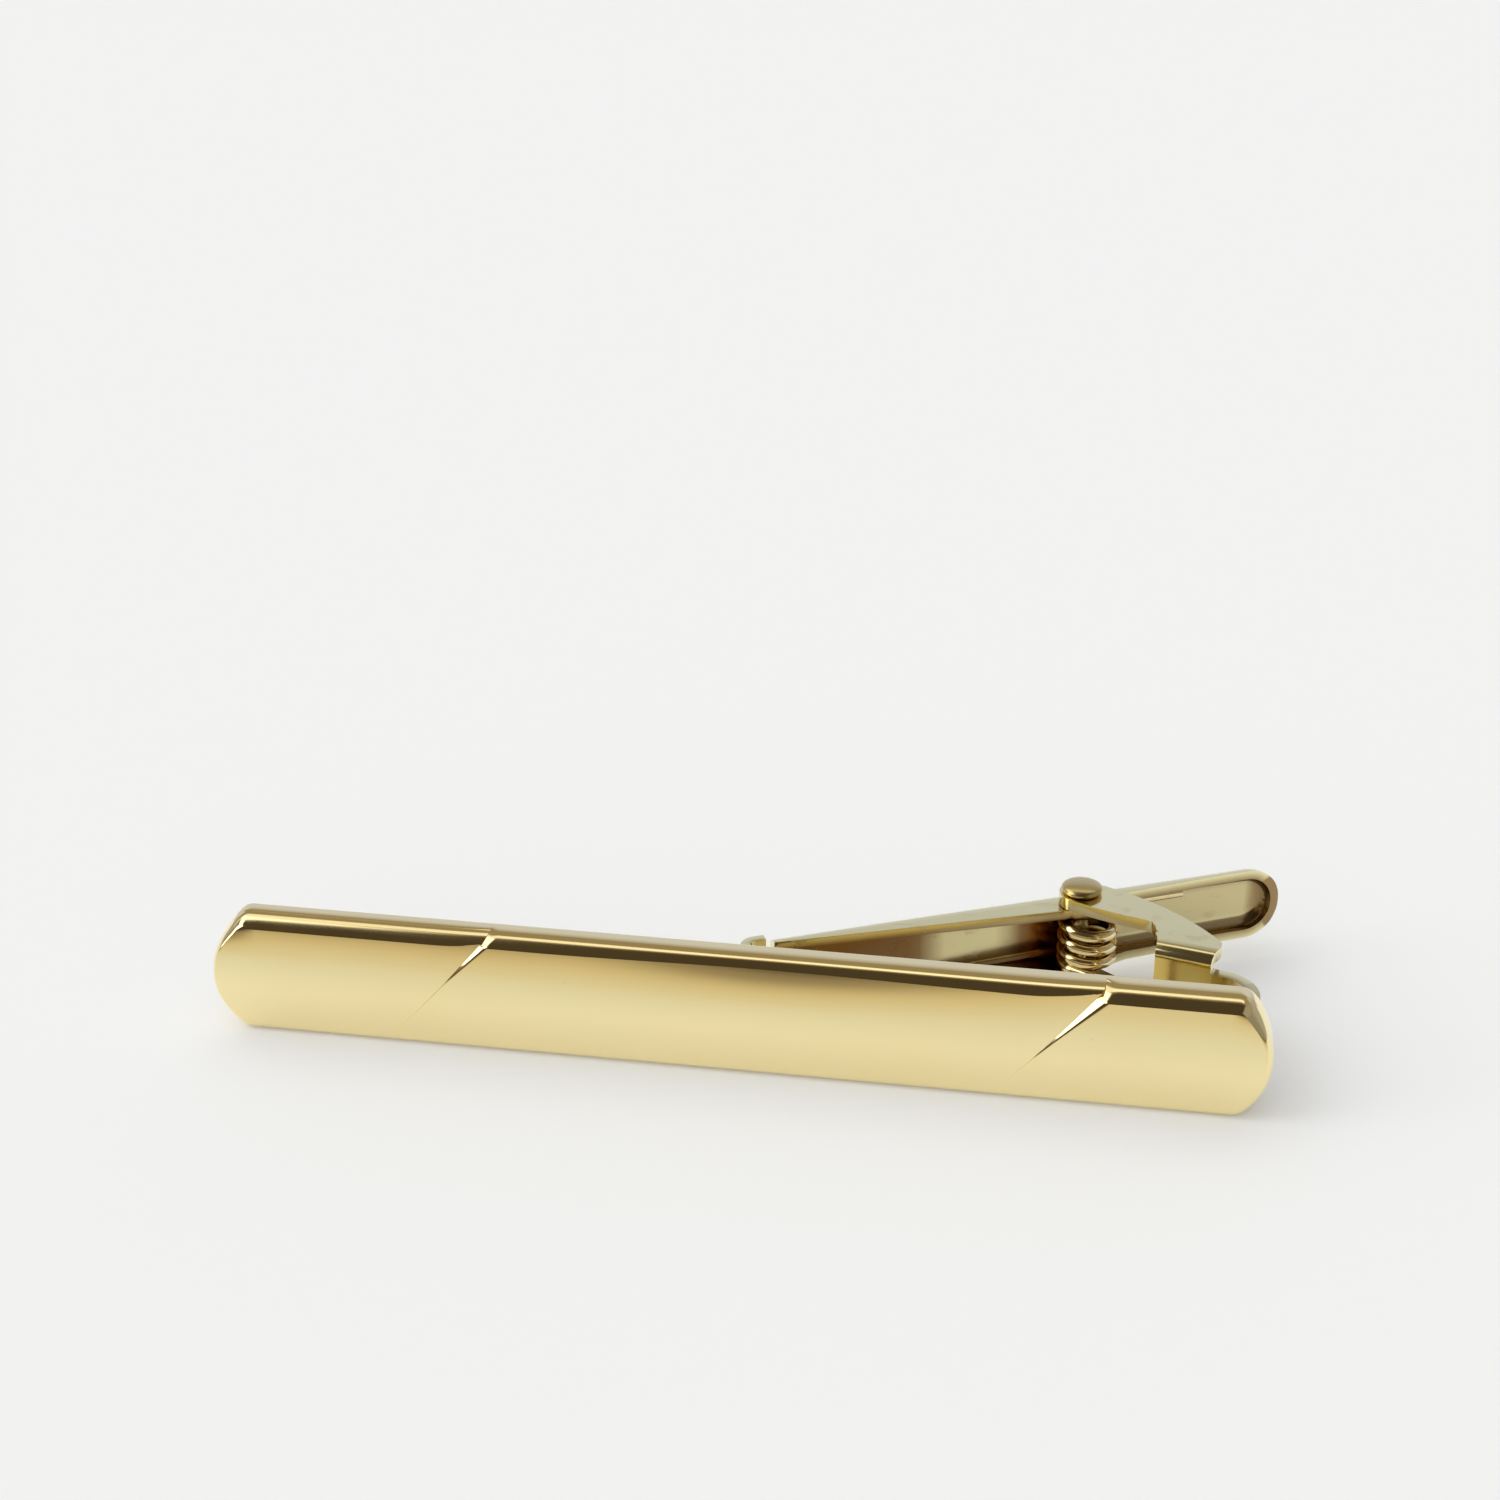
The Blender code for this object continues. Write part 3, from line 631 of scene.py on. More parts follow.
def shoulder_shape(rings):
    """The soft shoulder's insets and falls as shares: it turns fast at the front, slowly at the top."""
    across, back, table = 0.0, 0.0, [(0.0, 0.0)]
    for i in range(SHOULDER_STEPS):
        done = (i + 0.5) / SHOULDER_STEPS
        turn = math.radians(SHOULDER_TURN + SHOULDER_SWEEP * done**SHOULDER_EASE)
        across += math.cos(turn)
        back += math.sin(turn)
        table.append((across, back))
    picked = [table[round(SHOULDER_STEPS * (1 - share) ** 2)] for share in spread(0, 1, rings - 1)]
    return [(1 - a / across, b / back) for a, b in picked]


def bar_profile(bar):
    """Rings from the back to the front: inset, share of the way to the front edge, fall, bevel ring."""
    soft, rings = bar.back_soft, []
    for turn in map(math.radians, spread(0, 90, 4)):
        rings.append((soft * (1 - math.sin(turn)), None, soft * (1 - math.cos(turn)), None))
    for share in spread(0, 1, 8)[1:-1]:
        rings.append((-bar.edge_swell * 4 * share * (1 - share), share, 0.0, None))
    first = 4 * bar.edge_swell / bar.edge
    for i, turn in enumerate(spread(first, math.pi / 2, BEVEL_RINGS - 1)):
        inset = bar.bevel * (math.cos(first) - math.cos(turn))
        rings.append((inset, 1.0, bar.bevel * (1 - math.sin(turn)), i))
    return rings


def make_bar(bar):
    """Front bar as one closed skin: rings round its edge and a grid over its back and front."""
    end_points = bar_end(bar, 0.0)
    stations = bar_stations(bar, end_points[0][0])
    forms = [edge_form(bar, station) for station in stations]
    shape = shoulder_shape(BEVEL_RINGS)
    verts = []

    def bar_ring(inset, share, fall, number):
        """Points round the outline for one row of the profile."""
        back = bar.edge / 2 - (fall if share is None else bar.back_soft)
        edge_fall_and_shaded_gold = fall if share == 1 else bar.bevel * (1 - 4 * bar.edge_swell / bar.edge)
        across, sunk_share = shape[number or 0]

        def placed(edge):
            """Y of a ring point between the back and the front edge."""
            return back if share is None else back + (edge - back) * share

        def upper_edge(form):
            """Inset and depth of the upper edge's ring."""
            if number is None:
                return inset, form[1] * edge_fall_and_shaded_gold / bar.bevel
            return form[0] * across, form[1] * sunk_share

        def end_ring(thin, form):
            """Points round an end, the long lower edge's rounding turning into the upper edge's."""
            wide, sunk = upper_edge(form)
            points = []
            for i, places in enumerate(zip(*(bar_end(bar, by) for by in (inset, inset * thin, wide)))):
                into, out = (smooth((i - start) / BLEND_POINTS) for start in END_BLENDS)
                x, z = (m + (a - m) * (1 - into) + (b - m) * out for a, m, b in zip(*places))
                rise = bar.rise + (form[2] - bar.rise) * out
                points.append((x, placed(crown(bar, z, rise) + edge_fall_and_shaded_gold + (sunk - edge_fall_and_shaded_gold) * out), z))
            return points[1:-1]

        ring = []
        z = BAR_LOW.z + bar.edge_swell + inset
        for station in stations:
            x = station_x(bar, station, z)
            face, _, roll = fronts(bar, station, x, z, bar.rise)
            ring.append((x, placed(face + edge_fall_and_shaded_gold + roll), z))
        ring += end_ring(bar.end_edges[1], forms[-1])
        for station, form in zip(reversed(stations), reversed(forms)):
            width, sunk = upper_edge(form)
            z = BAR_HIGH.z - bar.edge_swell - width
            x = station_x(bar, station, z)
            face, run, roll = fronts(bar, station, x, z, form[2])
            ring.append((x, placed(face + max(sunk + bar.lift * run, run) + roll), z))
        return ring + [(-x, y, z) for x, y, z in reversed(end_ring(bar.end_edges[0], forms[0]))]

    def cap(ring, front):
        """Faces across the outline from one end to the other, over a grid of new points."""
        right, levels = len(stations), len(end_points) - 1
        upper = right + levels - 1
        below, above = ring[:right], ring[upper : upper + right][::-1]
        least, most = verts[below[-1]][2], verts[above[-1]][2]
        grid = [below]
        for k in range(1, levels):
            edge = ring[right + k - 1]
            up = (verts[edge][2] - least) / (most - least)
            line = []
            for station, form, low, high in list(zip(stations, forms, below, above))[1:-1]:
                z = verts[low][2] + (verts[high][2] - verts[low][2]) * up
                x = station_x(bar, station, z)
                line.append((x, sum(fronts(bar, station, x, z, form[2])) if front else bar.edge / 2, z))
            grid.append([ring[-k], *add_row(verts, line), edge])
        return skin(grid + [above])

    rows = [add_row(verts, bar_ring(*ring)) for ring in bar_profile(bar)]
    faces = skin(rows, closed=True) + cap(rows[0], False) + cap(rows[-1], True)
    obj = piece_from("front_bar_skin", verts, faces)
    shade(obj, 34)
    return obj


class TIECLIP_OT_bar(bpy.types.Operator):
    """Build the crowned front bar with its two diagonal cuts"""

    bl_idname = "tie_clip.bar"
    bl_label = "Front Bar"

    def execute(self, context):
        obj = make_bar(context.scene.tie_clip_bar)
        dress(obj, finish_of("bar"), "front_bar", "base")
        return {"FINISHED"}


def sheet_piece(name, verts, faces, thickness, soft, moved, hollow):
    """Give a surface of sheet its thickness, round its edges, note the shade painted into its gold and put
    it in its place.
    """
    obj = piece_from(name, verts, faces)
    wall = obj.modifiers.new("wall", "SOLIDIFY")
    wall.thickness = thickness
    wall.offset = 0.0
    wall.use_even_offset = True
    wall.use_quality_normals = True
    edges = obj.modifiers.new("edges", "BEVEL")
    edges.width = soft
    edges.segments = 4
    edges.limit_method = "ANGLE"
    edges.angle_limit = math.radians(50)
    edges.use_clamp_overlap = True
    obj.data.shade_smooth()
    even = obj.modifiers.new("even", "WEIGHTED_NORMAL")
    even.keep_sharp = True
    even.weight = 100
    settle(obj)
    paint_shade(obj, hollow)
    obj.data.transform(moved)
    return obj


def lobe_start(arm):
    """Where the lobe round the pivot begins, along the arm."""
    return -math.sqrt(LOBE**2 - (LOBE_TOP - arm.web) ** 2)


def arm_rim(arm, s):
    """Height of the channel's rim at a place along the arm, with the lobe round the pivot."""
    turn = math.radians(LOBE_END)
    start, end = (lobe_start(arm), arm.web - LOBE_TOP), (LOBE * math.cos(turn), -LOBE * math.sin(turn))
    shoulder, flat = (SHOULDER, arm.web - 1.4 * MM), (arm.thumb - 4.0 * MM, arm.web - 1.2 * MM)
    if s <= start[0]:
        return on_line(s, (-arm.tip, arm.web - 0.8 * MM), start)
    if s <= end[0]:
        return -math.sqrt(max(LOBE**2 - s**2, 0.0))
    if s <= shoulder[0]:
        return on_line(s, end, shoulder)
    return on_line(min(s, flat[0]), shoulder, flat)


def arm_stations(arm):
    """Places along the side of the channel, close together round the lobe."""
    start, notch = lobe_start(arm), -arm.tip + 0.25 * MM
    places = [-arm.tip] + spread(notch, start, 22)
    turns = spread(math.degrees(math.acos(start / LOBE)), LOBE_END, 16)
    places += [LOBE * math.cos(math.radians(t)) for t in turns[1:]]
    places += spread(places[-1], SHOULDER, 5)[1:]
    return places + spread(SHOULDER, arm.thumb - arm.thumb_corner, 12)[1:]


def make_arm(arm):
    """Channel arm with its thumb end, neck and gripping lip, as one folded sheet."""
    half_sheet = arm.sheet / 2
    half = arm.width / 2 - half_sheet
    end = arm.thumb - half_sheet
    corner = arm.thumb_corner - half_sheet
    web = arm.web - half_sheet
    flat = half - corner
    side = [(s, -half, (0.0, -1.0)) for s in arm_stations(arm)]
    for turn in spread(-90, 0, 12)[1:]:
        out = (math.cos(math.radians(turn)), math.sin(math.radians(turn)))
        side.append((end - corner + corner * out[0], -flat + corner * out[1], out))
    path = side + [(end, flat * c, (1.0, 0.0)) for c in ACROSS[1:-1]]
    path += [(s, -z, (out[0], -out[1])) for s, z, out in reversed(side)]

    verts, rings, columns = [], [], []
    profile = [(0.0, share, 0.0) for share in (0.0, 0.12, 0.35, 0.6, 0.85, 1.0)]
    profile += [(1 - math.cos(math.radians(t)), None, 1 - math.sin(math.radians(t)))
                for t in (15, 30, 45, 60, 75, 90)]
    for inset, share, fall in profile:
        ring = []
        for s, z, out in path:
            low = arm_rim(arm, s)
            fold = arm.tip_fold + (arm.fold - arm.tip_fold) * smooth((s + arm.tip) / (arm.tip + arm.thumb))
            height = web - fold * fall if share is None else low + (web - fold - low) * share
            ring.append((s - out[0] * fold * inset, height, z - out[1] * fold * inset))
        rings.append(add_row(verts, ring))

    inner, last = rings[-1], len(side) - 1
    for first, second in zip(inner[:last], reversed(inner)):
        a, b = Vector(verts[first]), Vector(verts[second])
        between = [tuple(a.lerp(b, (c + 1) / 2)) for c in ACROSS[1:-1]]
        columns.append([first, *add_row(verts, between), second])
    columns.append(inner[last : last + len(ACROSS)])

    neck = [columns[0][1:-1]]
    across = [verts[i][2] for i in neck[0]]
    start = -(arm.tip + 0.36 * MM)
    for s in (-arm.tip - 0.12 * MM, -arm.tip - 0.24 * MM, start):
        neck.append(add_row(verts, [(s, web, z) for z in across]))

    turn = 90 - math.degrees(arm.tilt)
    lip = [(start - 0.28 * MM, web)]
    lip += arc((start - 0.55 * MM, web - arm.lip_bend), arm.lip_bend, 90, 90 + turn, 12)
    heading = math.radians(180 + turn)
    down = Vector((math.cos(heading), math.sin(heading)))
    tail = Vector(lip[-1])
    above = PIVOT.y - BAR_HIGH.y + tail.x * math.sin(arm.tilt) + tail.y * math.cos(arm.tilt) - LIP_GAP
    lip += [tuple(tail + down * above * share) for share in (0.4, 0.8, 1.0)]
    lip_half = arm.lip_width / 2
    left = [-lip_half, 0.1 * MM - lip_half, (across[0] - lip_half) / 2]
    right = [-z for z in reversed(left)]
    beside = add_row(verts, [(start, web, z) for z in left + right])
    lines = [beside[:3] + neck[-1] + beside[3:]]
    lines += [add_row(verts, [(s, height, z) for z in left + across + right]) for s, height in lip]
    faces = skin(rings) + skin(columns) + skin(neck) + skin(lines)
    inner_side = arm.width / 2 - arm.sheet

    def hollow(co):
        """Painted shade inside the channel: round the coil, along the walls and at both ends, a little
        elsewhere.
        """
        if co.y > web - half_sheet + SEAT_GAP or abs(co.z) > inner_side + SEAT_GAP or co.x < -arm.tip:
            return 0.0
        coil = smooth((co.x + 4.6 * MM) / (2.2 * MM)) * smooth((2.6 * MM - co.x) / (1.6 * MM))
        wall = 0.78 * smooth((abs(co.z) - 0.7 * MM) / (0.8 * MM))
        thumb = 0.8 * smooth((co.x - arm.thumb + 2.4 * MM) / (1.4 * MM))
        far = 0.92 * smooth((-6.6 * MM - co.x) / (2.4 * MM))
        return max(coil, wall, thumb, far, 0.12 + 0.26 * (co.x > 0))

    moved = Matrix.Translation(PIVOT) @ Matrix.Rotation(arm.tilt, 4, "Z")
    return sheet_piece("clip_arm_skin", verts, faces, arm.sheet, arm.rim_soft, moved, hollow)


class TIECLIP_OT_arm(bpy.types.Operator):
    """Build the channel arm with its thumb end and gripping lip"""

    bl_idname = "tie_clip.arm"
    bl_label = "Clip Arm"

    def execute(self, context):
        obj = make_arm(context.scene.tie_clip_arm)
        dress(obj, finish_of("arm"), "clip_arm", "arm")
        return {"FINISHED"}


def plate_frame(bracket):
    """Where the plate starts, its direction, and the direction away from the bar."""
    start = Vector((PIVOT.x + bracket.plate_offset, BAR_HIGH.y + bracket.plate_reach))
    along = Vector((math.cos(bracket.plate_angle), math.sin(bracket.plate_angle)))
    return start, along, Vector((-along.y, along.x))


def strap_bends(bracket):
    """Lengths of the plate and the foot and, between them, the lengths and radii of the strap's bends."""
    start, along, away = plate_frame(bracket)
    run = (bracket.plate_width + 0.75 * MM) / along.x
    knee = start + away * bracket.sheet / 2 + along * run
    foot_bend = 0.5 * MM
    foot_top = BAR_HIGH.y + SEAT_GAP + bracket.sheet / 2 + foot_bend
    bend = 0.74 * (knee.y - foot_top)
    turn = math.radians(90) + bracket.plate_angle
    drop = (knee - away * bend).y - foot_top
    return run, ((bend * turn, bend), (drop, None), (foot_bend * math.pi / 2, foot_bend)), 5.2 * MM


def fold_path(bracket):
    """Depth and rise along an ear's fold from the plate to the ear: tight at the plate, easy at the ear."""
    path = [(0.0, 0.0)]
    step = bracket.fold / FOLD_STEPS
    for i in range(FOLD_STEPS):
        turn = math.pi / 2 * (1 - (1 - (i + 0.5) / FOLD_STEPS) ** bracket.fold_ease)
        depth, rise = path[-1]
        path.append((depth + math.sin(turn) * step, rise + math.cos(turn) * step))
    return path


def fold_flat(bracket):
    """Half of the plate's flat width between the two folds."""
    return bracket.inside + bracket.sheet / 2 - fold_path(bracket)[-1][1]


def bent_place(bracket, u, q):
    """Point of the bent sheet for a place on the flat blank: u along the plate and strap, q across it."""
    start, along, away = plate_frame(bracket)
    flat = fold_flat(bracket)
    depth, rise = bracket.sheet / 2, q
    if abs(q) > flat:
        path = fold_path(bracket)
        place = min((abs(q) - flat) / bracket.fold, 1.0) * FOLD_STEPS
        index = min(int(place), FOLD_STEPS - 1)
        spot = Vector(path[index]).lerp(Vector(path[index + 1]), place - index)
        depth += spot.x + max(abs(q) - flat - bracket.fold, 0.0)
        rise = math.copysign(flat + spot.y, q)
    run, bends, _ = strap_bends(bracket)
    point = start + along * min(u, run) + away * depth
    heading, left = along, u - run
    for length, radius in bends:
        if left <= 0:
            break
        step = min(left, length)
        if radius is None:
            point = point + heading * step
        else:
            side = Vector((heading.y, -heading.x))
            c, s = math.cos(step / radius), math.sin(step / radius)
            point = point + side * radius * (1 - c) + heading * radius * s
            heading = heading * c + side * s
        left -= step
    if left > 0:
        point = point + heading * left
    return Vector((point.x, point.y, MID_Z + rise))


def blank_outline(bracket, far_bulge):
    """Half of the flat blank's outline, from the foot's end round the ear to the plate's edge."""
    start, along, away = plate_frame(bracket)
    flat, bent, half = fold_flat(bracket), bracket.fold, bracket.strap_half
    depths = [depth + bracket.sheet / 2 for depth, _ in fold_path(bracket)]

    def on_blank(x, y):
        """Blank place of a plan point on the ear."""
        offset = Vector((x, y)) - start
        behind = offset.dot(away)
        if behind >= depths[-1]:
            return offset.dot(along), flat + bent + behind - depths[-1]
        passed = sum(depth <= behind for depth in depths)
        return offset.dot(along), flat + bent * max(passed - 1, 0) / FOLD_STEPS

    right = start + along * bracket.plate_width / along.x
    heel = (right.x + 0.62 * MM, right.y + 1.7 * MM)
    heel_end = (heel[0] - 0.225 * MM, heel[1] - 0.9 * MM)
    root = (start.x - 0.05 * MM, start.y + 1.8 * MM)
    notch = (root[0] - 0.62 * MM, root[1] + 1.0 * MM)
    disc = arc((PIVOT.x, PIVOT.y), bracket.ear_radius, -104, 72 - 360, 40)
    ear = [root, (root[0] - 0.04 * MM, root[1] + 0.3 * MM)]
    ear += arc_between((root[0] - 0.12 * MM, root[1] + 0.6 * MM), notch, -0.07 * MM, 6)
    ear += arc_between(notch, disc[0], 0.10 * MM, 12)[1:] + disc[1:]
    ear += arc_between(disc[-1], heel, far_bulge, 24)[1:]
    ear += arc_between(heel, heel_end, 0.1 * MM, 8)[1:]

    run, bends, foot = strap_bends(bracket)
    total = run + sum(length for length, _ in bends) + foot
    foot_corner, plate_corner, relief = 0.6 * MM, 0.22 * MM, 0.13 * MM
    plate_end = bracket.plate_width / along.x
    outline = arc((total - foot_corner, half - foot_corner), foot_corner, 0, 90, 8)
    outline += [(plate_end + 0.42 * MM, half)]
    outline += arc((plate_end + 0.30 * MM, half + plate_corner), plate_corner, -90, -160, 6)
    outline += [(plate_end + 0.12 * MM, flat + 0.18 * MM)]
    outline += [on_blank(*place) for place in reversed(ear)]
    u, q = outline[-1]
    outline += arc((u, q - relief), relief, 90, -90, 6)[1:]
    q = outline[-1][1] - 0.35 * MM
    return outline + [(-0.26 * MM, q), (-0.13 * MM, flat + 0.5 * bent), (-0.05 * MM, flat)]


def make_bracket(bracket):
    """Bracket cut as a flat blank, scored at its folds, bent up and given its thickness."""
    lower = blank_outline(bracket, bracket.far_lower)
    outline = blank_outline(bracket, bracket.far_upper) + [(u, -q) for u, q in reversed(lower)]
    bm = bmesh.new()
    bm.faces.new([bm.verts.new((u, q, 0.0)) for u, q in outline])
    flat = fold_flat(bracket)
    fold_end = flat + bracket.fold
    scores = [flat - SCORE, fold_end + SCORE] + spread(flat, fold_end, 14)
    cuts = [((0, q * side, 0), (0, 1, 0)) for q in scores for side in (-1, 1)]
    run, bends, _ = strap_bends(bracket)
    knee = run + bends[0][0]
    heel = knee + bends[1][0]
    foot = heel + bends[2][0]
    marks = [run - SCORE, *spread(run, knee, 20), knee + SCORE, heel - SCORE, *spread(heel, foot, 10),
             foot + SCORE]
    cuts += [((u, 0, 0), (1, 0, 0)) for u in marks]
    for place, direction in cuts:
        geometry = bm.verts[:] + bm.edges[:] + bm.faces[:]
        bmesh.ops.bisect_plane(bm, geom=geometry, dist=1e-8, plane_co=place, plane_no=direction)
    bm.verts.index_update()
    verts = [bent_place(bracket, v.co.x, v.co.y) for v in bm.verts]
    faces = [[v.index for v in face.verts] for face in bm.faces]
    bm.free()
    start, _, away = plate_frame(bracket)

    def hollow(co):
        """Painted shade on the plate's front between the folds, and painted shade under the ears."""
        behind, aside = (Vector((co.x, co.y)) - start).dot(away), abs(co.z - MID_Z)
        front = smooth((0.10 * MM - behind) / (0.1 * MM)) * smooth((1.9 * MM - aside) / (0.2 * MM))
        under = smooth((bracket.inside + SEAT_GAP - aside) / SEAT_GAP)
        return max(front, 0.6 * under * (behind > bracket.sheet))

    return sheet_piece("bracket_skin", verts, faces, bracket.sheet, bracket.rim_soft,
                       Matrix.Identity(4), hollow)


class TIECLIP_OT_bracket(bpy.types.Operator):
    """Build the folded bracket with its two ears, strap and foot"""

    bl_idname = "tie_clip.bracket"
    bl_label = "Bracket"

    def execute(self, context):
        obj = make_bracket(context.scene.tie_clip_bracket)
        dress(obj, finish_of("bracket"), "bracket", "base")
        return {"FINISHED"}


def make_rivet(rivet):
    """Rivet with a button head at each end, turned round its axis."""
    rise = RIVET_HIGH.z - PIVOT.z - rivet.seat
    belt = 0.46 * rise
    half = [(rivet.shank, rivet.seat), (0.74 * rivet.head, rivet.seat)]
    for turn in map(math.radians, (12, 24, 36, 48, 60, 72, 81, 90)):
        half.append((rivet.head * (0.76 + 0.24 * math.sin(turn)), rivet.seat + belt * (1 - math.cos(turn))))
    for turn in map(math.radians, range(5, 90, 5)):
        half.append((rivet.head * math.cos(turn) ** 0.94,
                     rivet.seat + belt + (rise - belt) * math.sin(turn) ** 0.95))
    top = rivet.seat + rise
    profile = [(r, -h) for r, h in reversed(half)] + half
    count = rivet.facets
    verts = []
    rows = [add_row(verts, [(PIVOT.x + x, PIVOT.y + y, PIVOT.z + height)
                            for x, y in arc((0, 0), radius, 0, 360, count)[:-1]])
            for radius, height in profile]
    faces = skin(rows, closed=True)
    for height, row in ((-top, rows[0]), (top, rows[-1])):
        pole = add_row(verts, [(PIVOT.x, PIVOT.y, PIVOT.z + height)])
        faces += [(a, b, *pole) for a, b in zip(row, row[1:] + row[:1])]
    obj = piece_from("pivot_rivet_skin", verts, faces)
    shade(obj, 40)
    return obj


class TIECLIP_OT_rivet(bpy.types.Operator):
    """Build the pivot rivet with its button heads"""

    bl_idname = "tie_clip.rivet"
    bl_label = "Pivot Rivet"

    def execute(self, context):
        obj = make_rivet(context.scene.tie_clip_rivet)
        dress(obj, finish_of("rivet"), "pivot_rivet", "base")
        return {"FINISHED"}


def coil_centre(spring, arm):
    """Plan place of the coil's middle."""
    ahead = Vector((math.cos(arm.tilt), math.sin(arm.tilt)))
    leg_height = arm.web - arm.sheet - SEAT_GAP - spring.wire / 2
    return PIVOT.xy + Vector((-ahead.y, ahead.x)) * (leg_height - spring.coil) + ahead * spring.ahead


def spring_path(spring, arm, bracket):
    """The wire's middle line: foot on the plate, leg, coil from bottom to top, leg on the arm."""
    centre = coil_centre(spring, arm)
    start, along, away = plate_frame(bracket)
    foot = start + along * 0.8 * MM + away * (bracket.sheet + SEAT_GAP)
    knee = foot + away * 0.9 * MM
    apart = knee - centre
    first = math.atan2(apart.y, apart.x) - math.acos(spring.coil / apart.length)
    part = (first - arm.tilt - math.pi / 2) % (2 * math.pi) / (2 * math.pi)
    turns = part + round(spring.turns - part)
    low = MID_Z - (spring.close + spring.pitch * (turns - 1)) / 2
    coil = []
    for done in spread(0, turns, round(48 * turns)):
        turn = first - 2 * math.pi * done
        height = low + spring.close * min(done, 1.0) + spring.pitch * max(done - 1.0, 0.0)
        coil.append(Vector((centre.x + spring.coil * math.cos(turn),
                            centre.y + spring.coil * math.sin(turn), height)))
    leg_z = low - 0.28 * MM
    stand, toe = Vector((*knee, leg_z)), Vector((*foot, leg_z))
    corner, elbow = toe.lerp(stand, 0.35), stand.lerp(coil[0], 0.16)
    points = [toe, corner]
    for t in spread(0, 1, 9)[1:-1]:
        points.append(corner * (1 - t) ** 2 + stand * 2 * t * (1 - t) + elbow * t**2)
    for t in spread(0, 1, 12):
        spot = elbow.lerp(coil[0], t * 0.97)
        spot.z = elbow.z + (coil[0].z - elbow.z) * smooth(t)
        points.append(spot)
    ahead = Vector((math.cos(arm.tilt), math.sin(arm.tilt), 0.0))
    points += coil + [coil[-1] + ahead * reach for reach in spread(0, spring.arm_leg, 15)[1:]]
    return points, leg_z, coil[-1].z


def wire_tree():
    """Geometry nodes that sweep a round wire along a path and cap its cut ends."""
    tree = bpy.data.node_groups.new("wire_on_path", "GeometryNodeTree")
    names = {}
    for label, kind in (("Path", "Geometry"), ("Wire Radius", "Float"), ("Step", "Float"),
                        ("Facets", "Int"), ("Finish", "Material")):
        socket = tree.interface.new_socket(label, in_out="INPUT", socket_type="NodeSocket" + kind)
        names[label] = socket.identifier
    tree.interface.new_socket("Wire", in_out="OUTPUT", socket_type="NodeSocketGeometry")
    given = tree.nodes.new("NodeGroupInput").outputs
    out = tree.nodes.new("NodeGroupOutput")
    even = node(tree, "GeometryNodeResampleCurve", {"Curve": given["Path"]}, mode="LENGTH")
    feed(tree, even.inputs["Length"], given["Step"])
    ring = node(tree, "GeometryNodeCurvePrimitiveCircle",
                {"Resolution": given["Facets"], "Radius": given["Wire Radius"]})
    swept = node(tree, "GeometryNodeCurveToMesh",
                 {"Curve": even.outputs["Curve"], "Profile Curve": ring.outputs["Curve"], "Fill Caps": True})
    merged = node(tree, "GeometryNodeMergeByDistance",
                  {"Geometry": swept.outputs["Mesh"], "Distance": 1e-7})
    real = node(tree, "GeometryNodeRealizeInstances", {"Geometry": merged.outputs["Geometry"]})
    done = node(tree, "GeometryNodeSetMaterial",
                {"Geometry": real.outputs["Geometry"], "Material": given["Finish"]})
    feed(tree, out.inputs["Wire"], done.outputs["Geometry"])
    return tree, names


def make_spring(spring, arm, bracket):
    """Torsion spring swept from its path, and the heights between which it twists."""
    points, low, high = spring_path(spring, arm, bracket)
    line = bpy.data.curves.new("spring_line", "CURVE")
    line.dimensions = "3D"
    spline = line.splines.new("POLY")
    spline.points.add(len(points) - 1)
    for spot, point in zip(spline.points, points):
        spot.co = (*point, 1.0)
    guide = new_object("spring_line", line)
    tree, names = wire_tree()
    sweep = guide.modifiers.new("sweep", "NODES")
    sweep.node_group = tree
    radius = spring.wire / 2
    for label, value in (("Wire Radius", radius), ("Step", spring.step), ("Facets", spring.facets),
                         ("Finish", finish_of("spring"))):
        sweep[names[label]] = value
    made = settle(guide)
    made.name = "torsion_spring_skin"
    bpy.data.objects.remove(guide)
    shade(made, 50)
    centre = coil_centre(spring, arm)

    def hollow(co):
        """Painted shade inside the coil."""
        inward = spring.coil - (co.xy - centre).length
        return 0.9 * smooth((inward - 0.02 * MM) / (0.2 * MM)) if low < co.z < high + radius else 0.0

    paint_shade(made, hollow)
    return made, low + radius, high - radius


class TIECLIP_OT_spring(bpy.types.Operator):
    """Sweep the torsion spring's wire along its coil and legs"""

    bl_idname = "tie_clip.spring"
    bl_label = "Torsion Spring"

    def execute(self, context):
        scene = context.scene
        obj, low, high = make_spring(scene.tie_clip_spring, scene.tie_clip_arm, scene.tie_clip_bracket)
        dress(obj, finish_of("spring"), "torsion_spring", None)
        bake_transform(obj)
        return {"FINISHED"}


def window_group():
    """Soft rectangular window in a direction, as a softbox shows in the sky."""
    group, given, out = new_group(
        "soft_window",
        [("Ray", "Vector", None), ("Toward", "Vector", (0, 0, 1)), ("Across", "Vector", (1, 0, 0)),
         ("Upright", "Vector", (0, 1, 0)), ("Half Width", "Float", 0.5), ("Half Height", "Float", 0.3),
         ("Softness", "Float", 0.1), ("Side Softness", "Float", 0.1)],
        [("Mask", "Float")],
    )
    if given is None:
        return group
    toward = vector_maths(group, "DOT_PRODUCT", given["Ray"], given["Toward"])
    safe = maths(group, "MAXIMUM", toward, 0.001)
    mask = maths(group, "GREATER_THAN", toward, 0.01)
    for side, half, soft in (("Across", "Half Width", "Side Softness"),
                             ("Upright", "Half Height", "Softness")):
        offset = maths(group, "DIVIDE", vector_maths(group, "DOT_PRODUCT", given["Ray"], given[side]), safe)
        room = maths(group, "SUBTRACT", given[half], maths(group, "ABSOLUTE", offset))
        inside = ramp(group, maths(group, "DIVIDE", room, given[soft]), -0.5, 0.5)
        mask = maths(group, "MULTIPLY", mask, inside)
    feed(group, out["Mask"], mask)
    return group


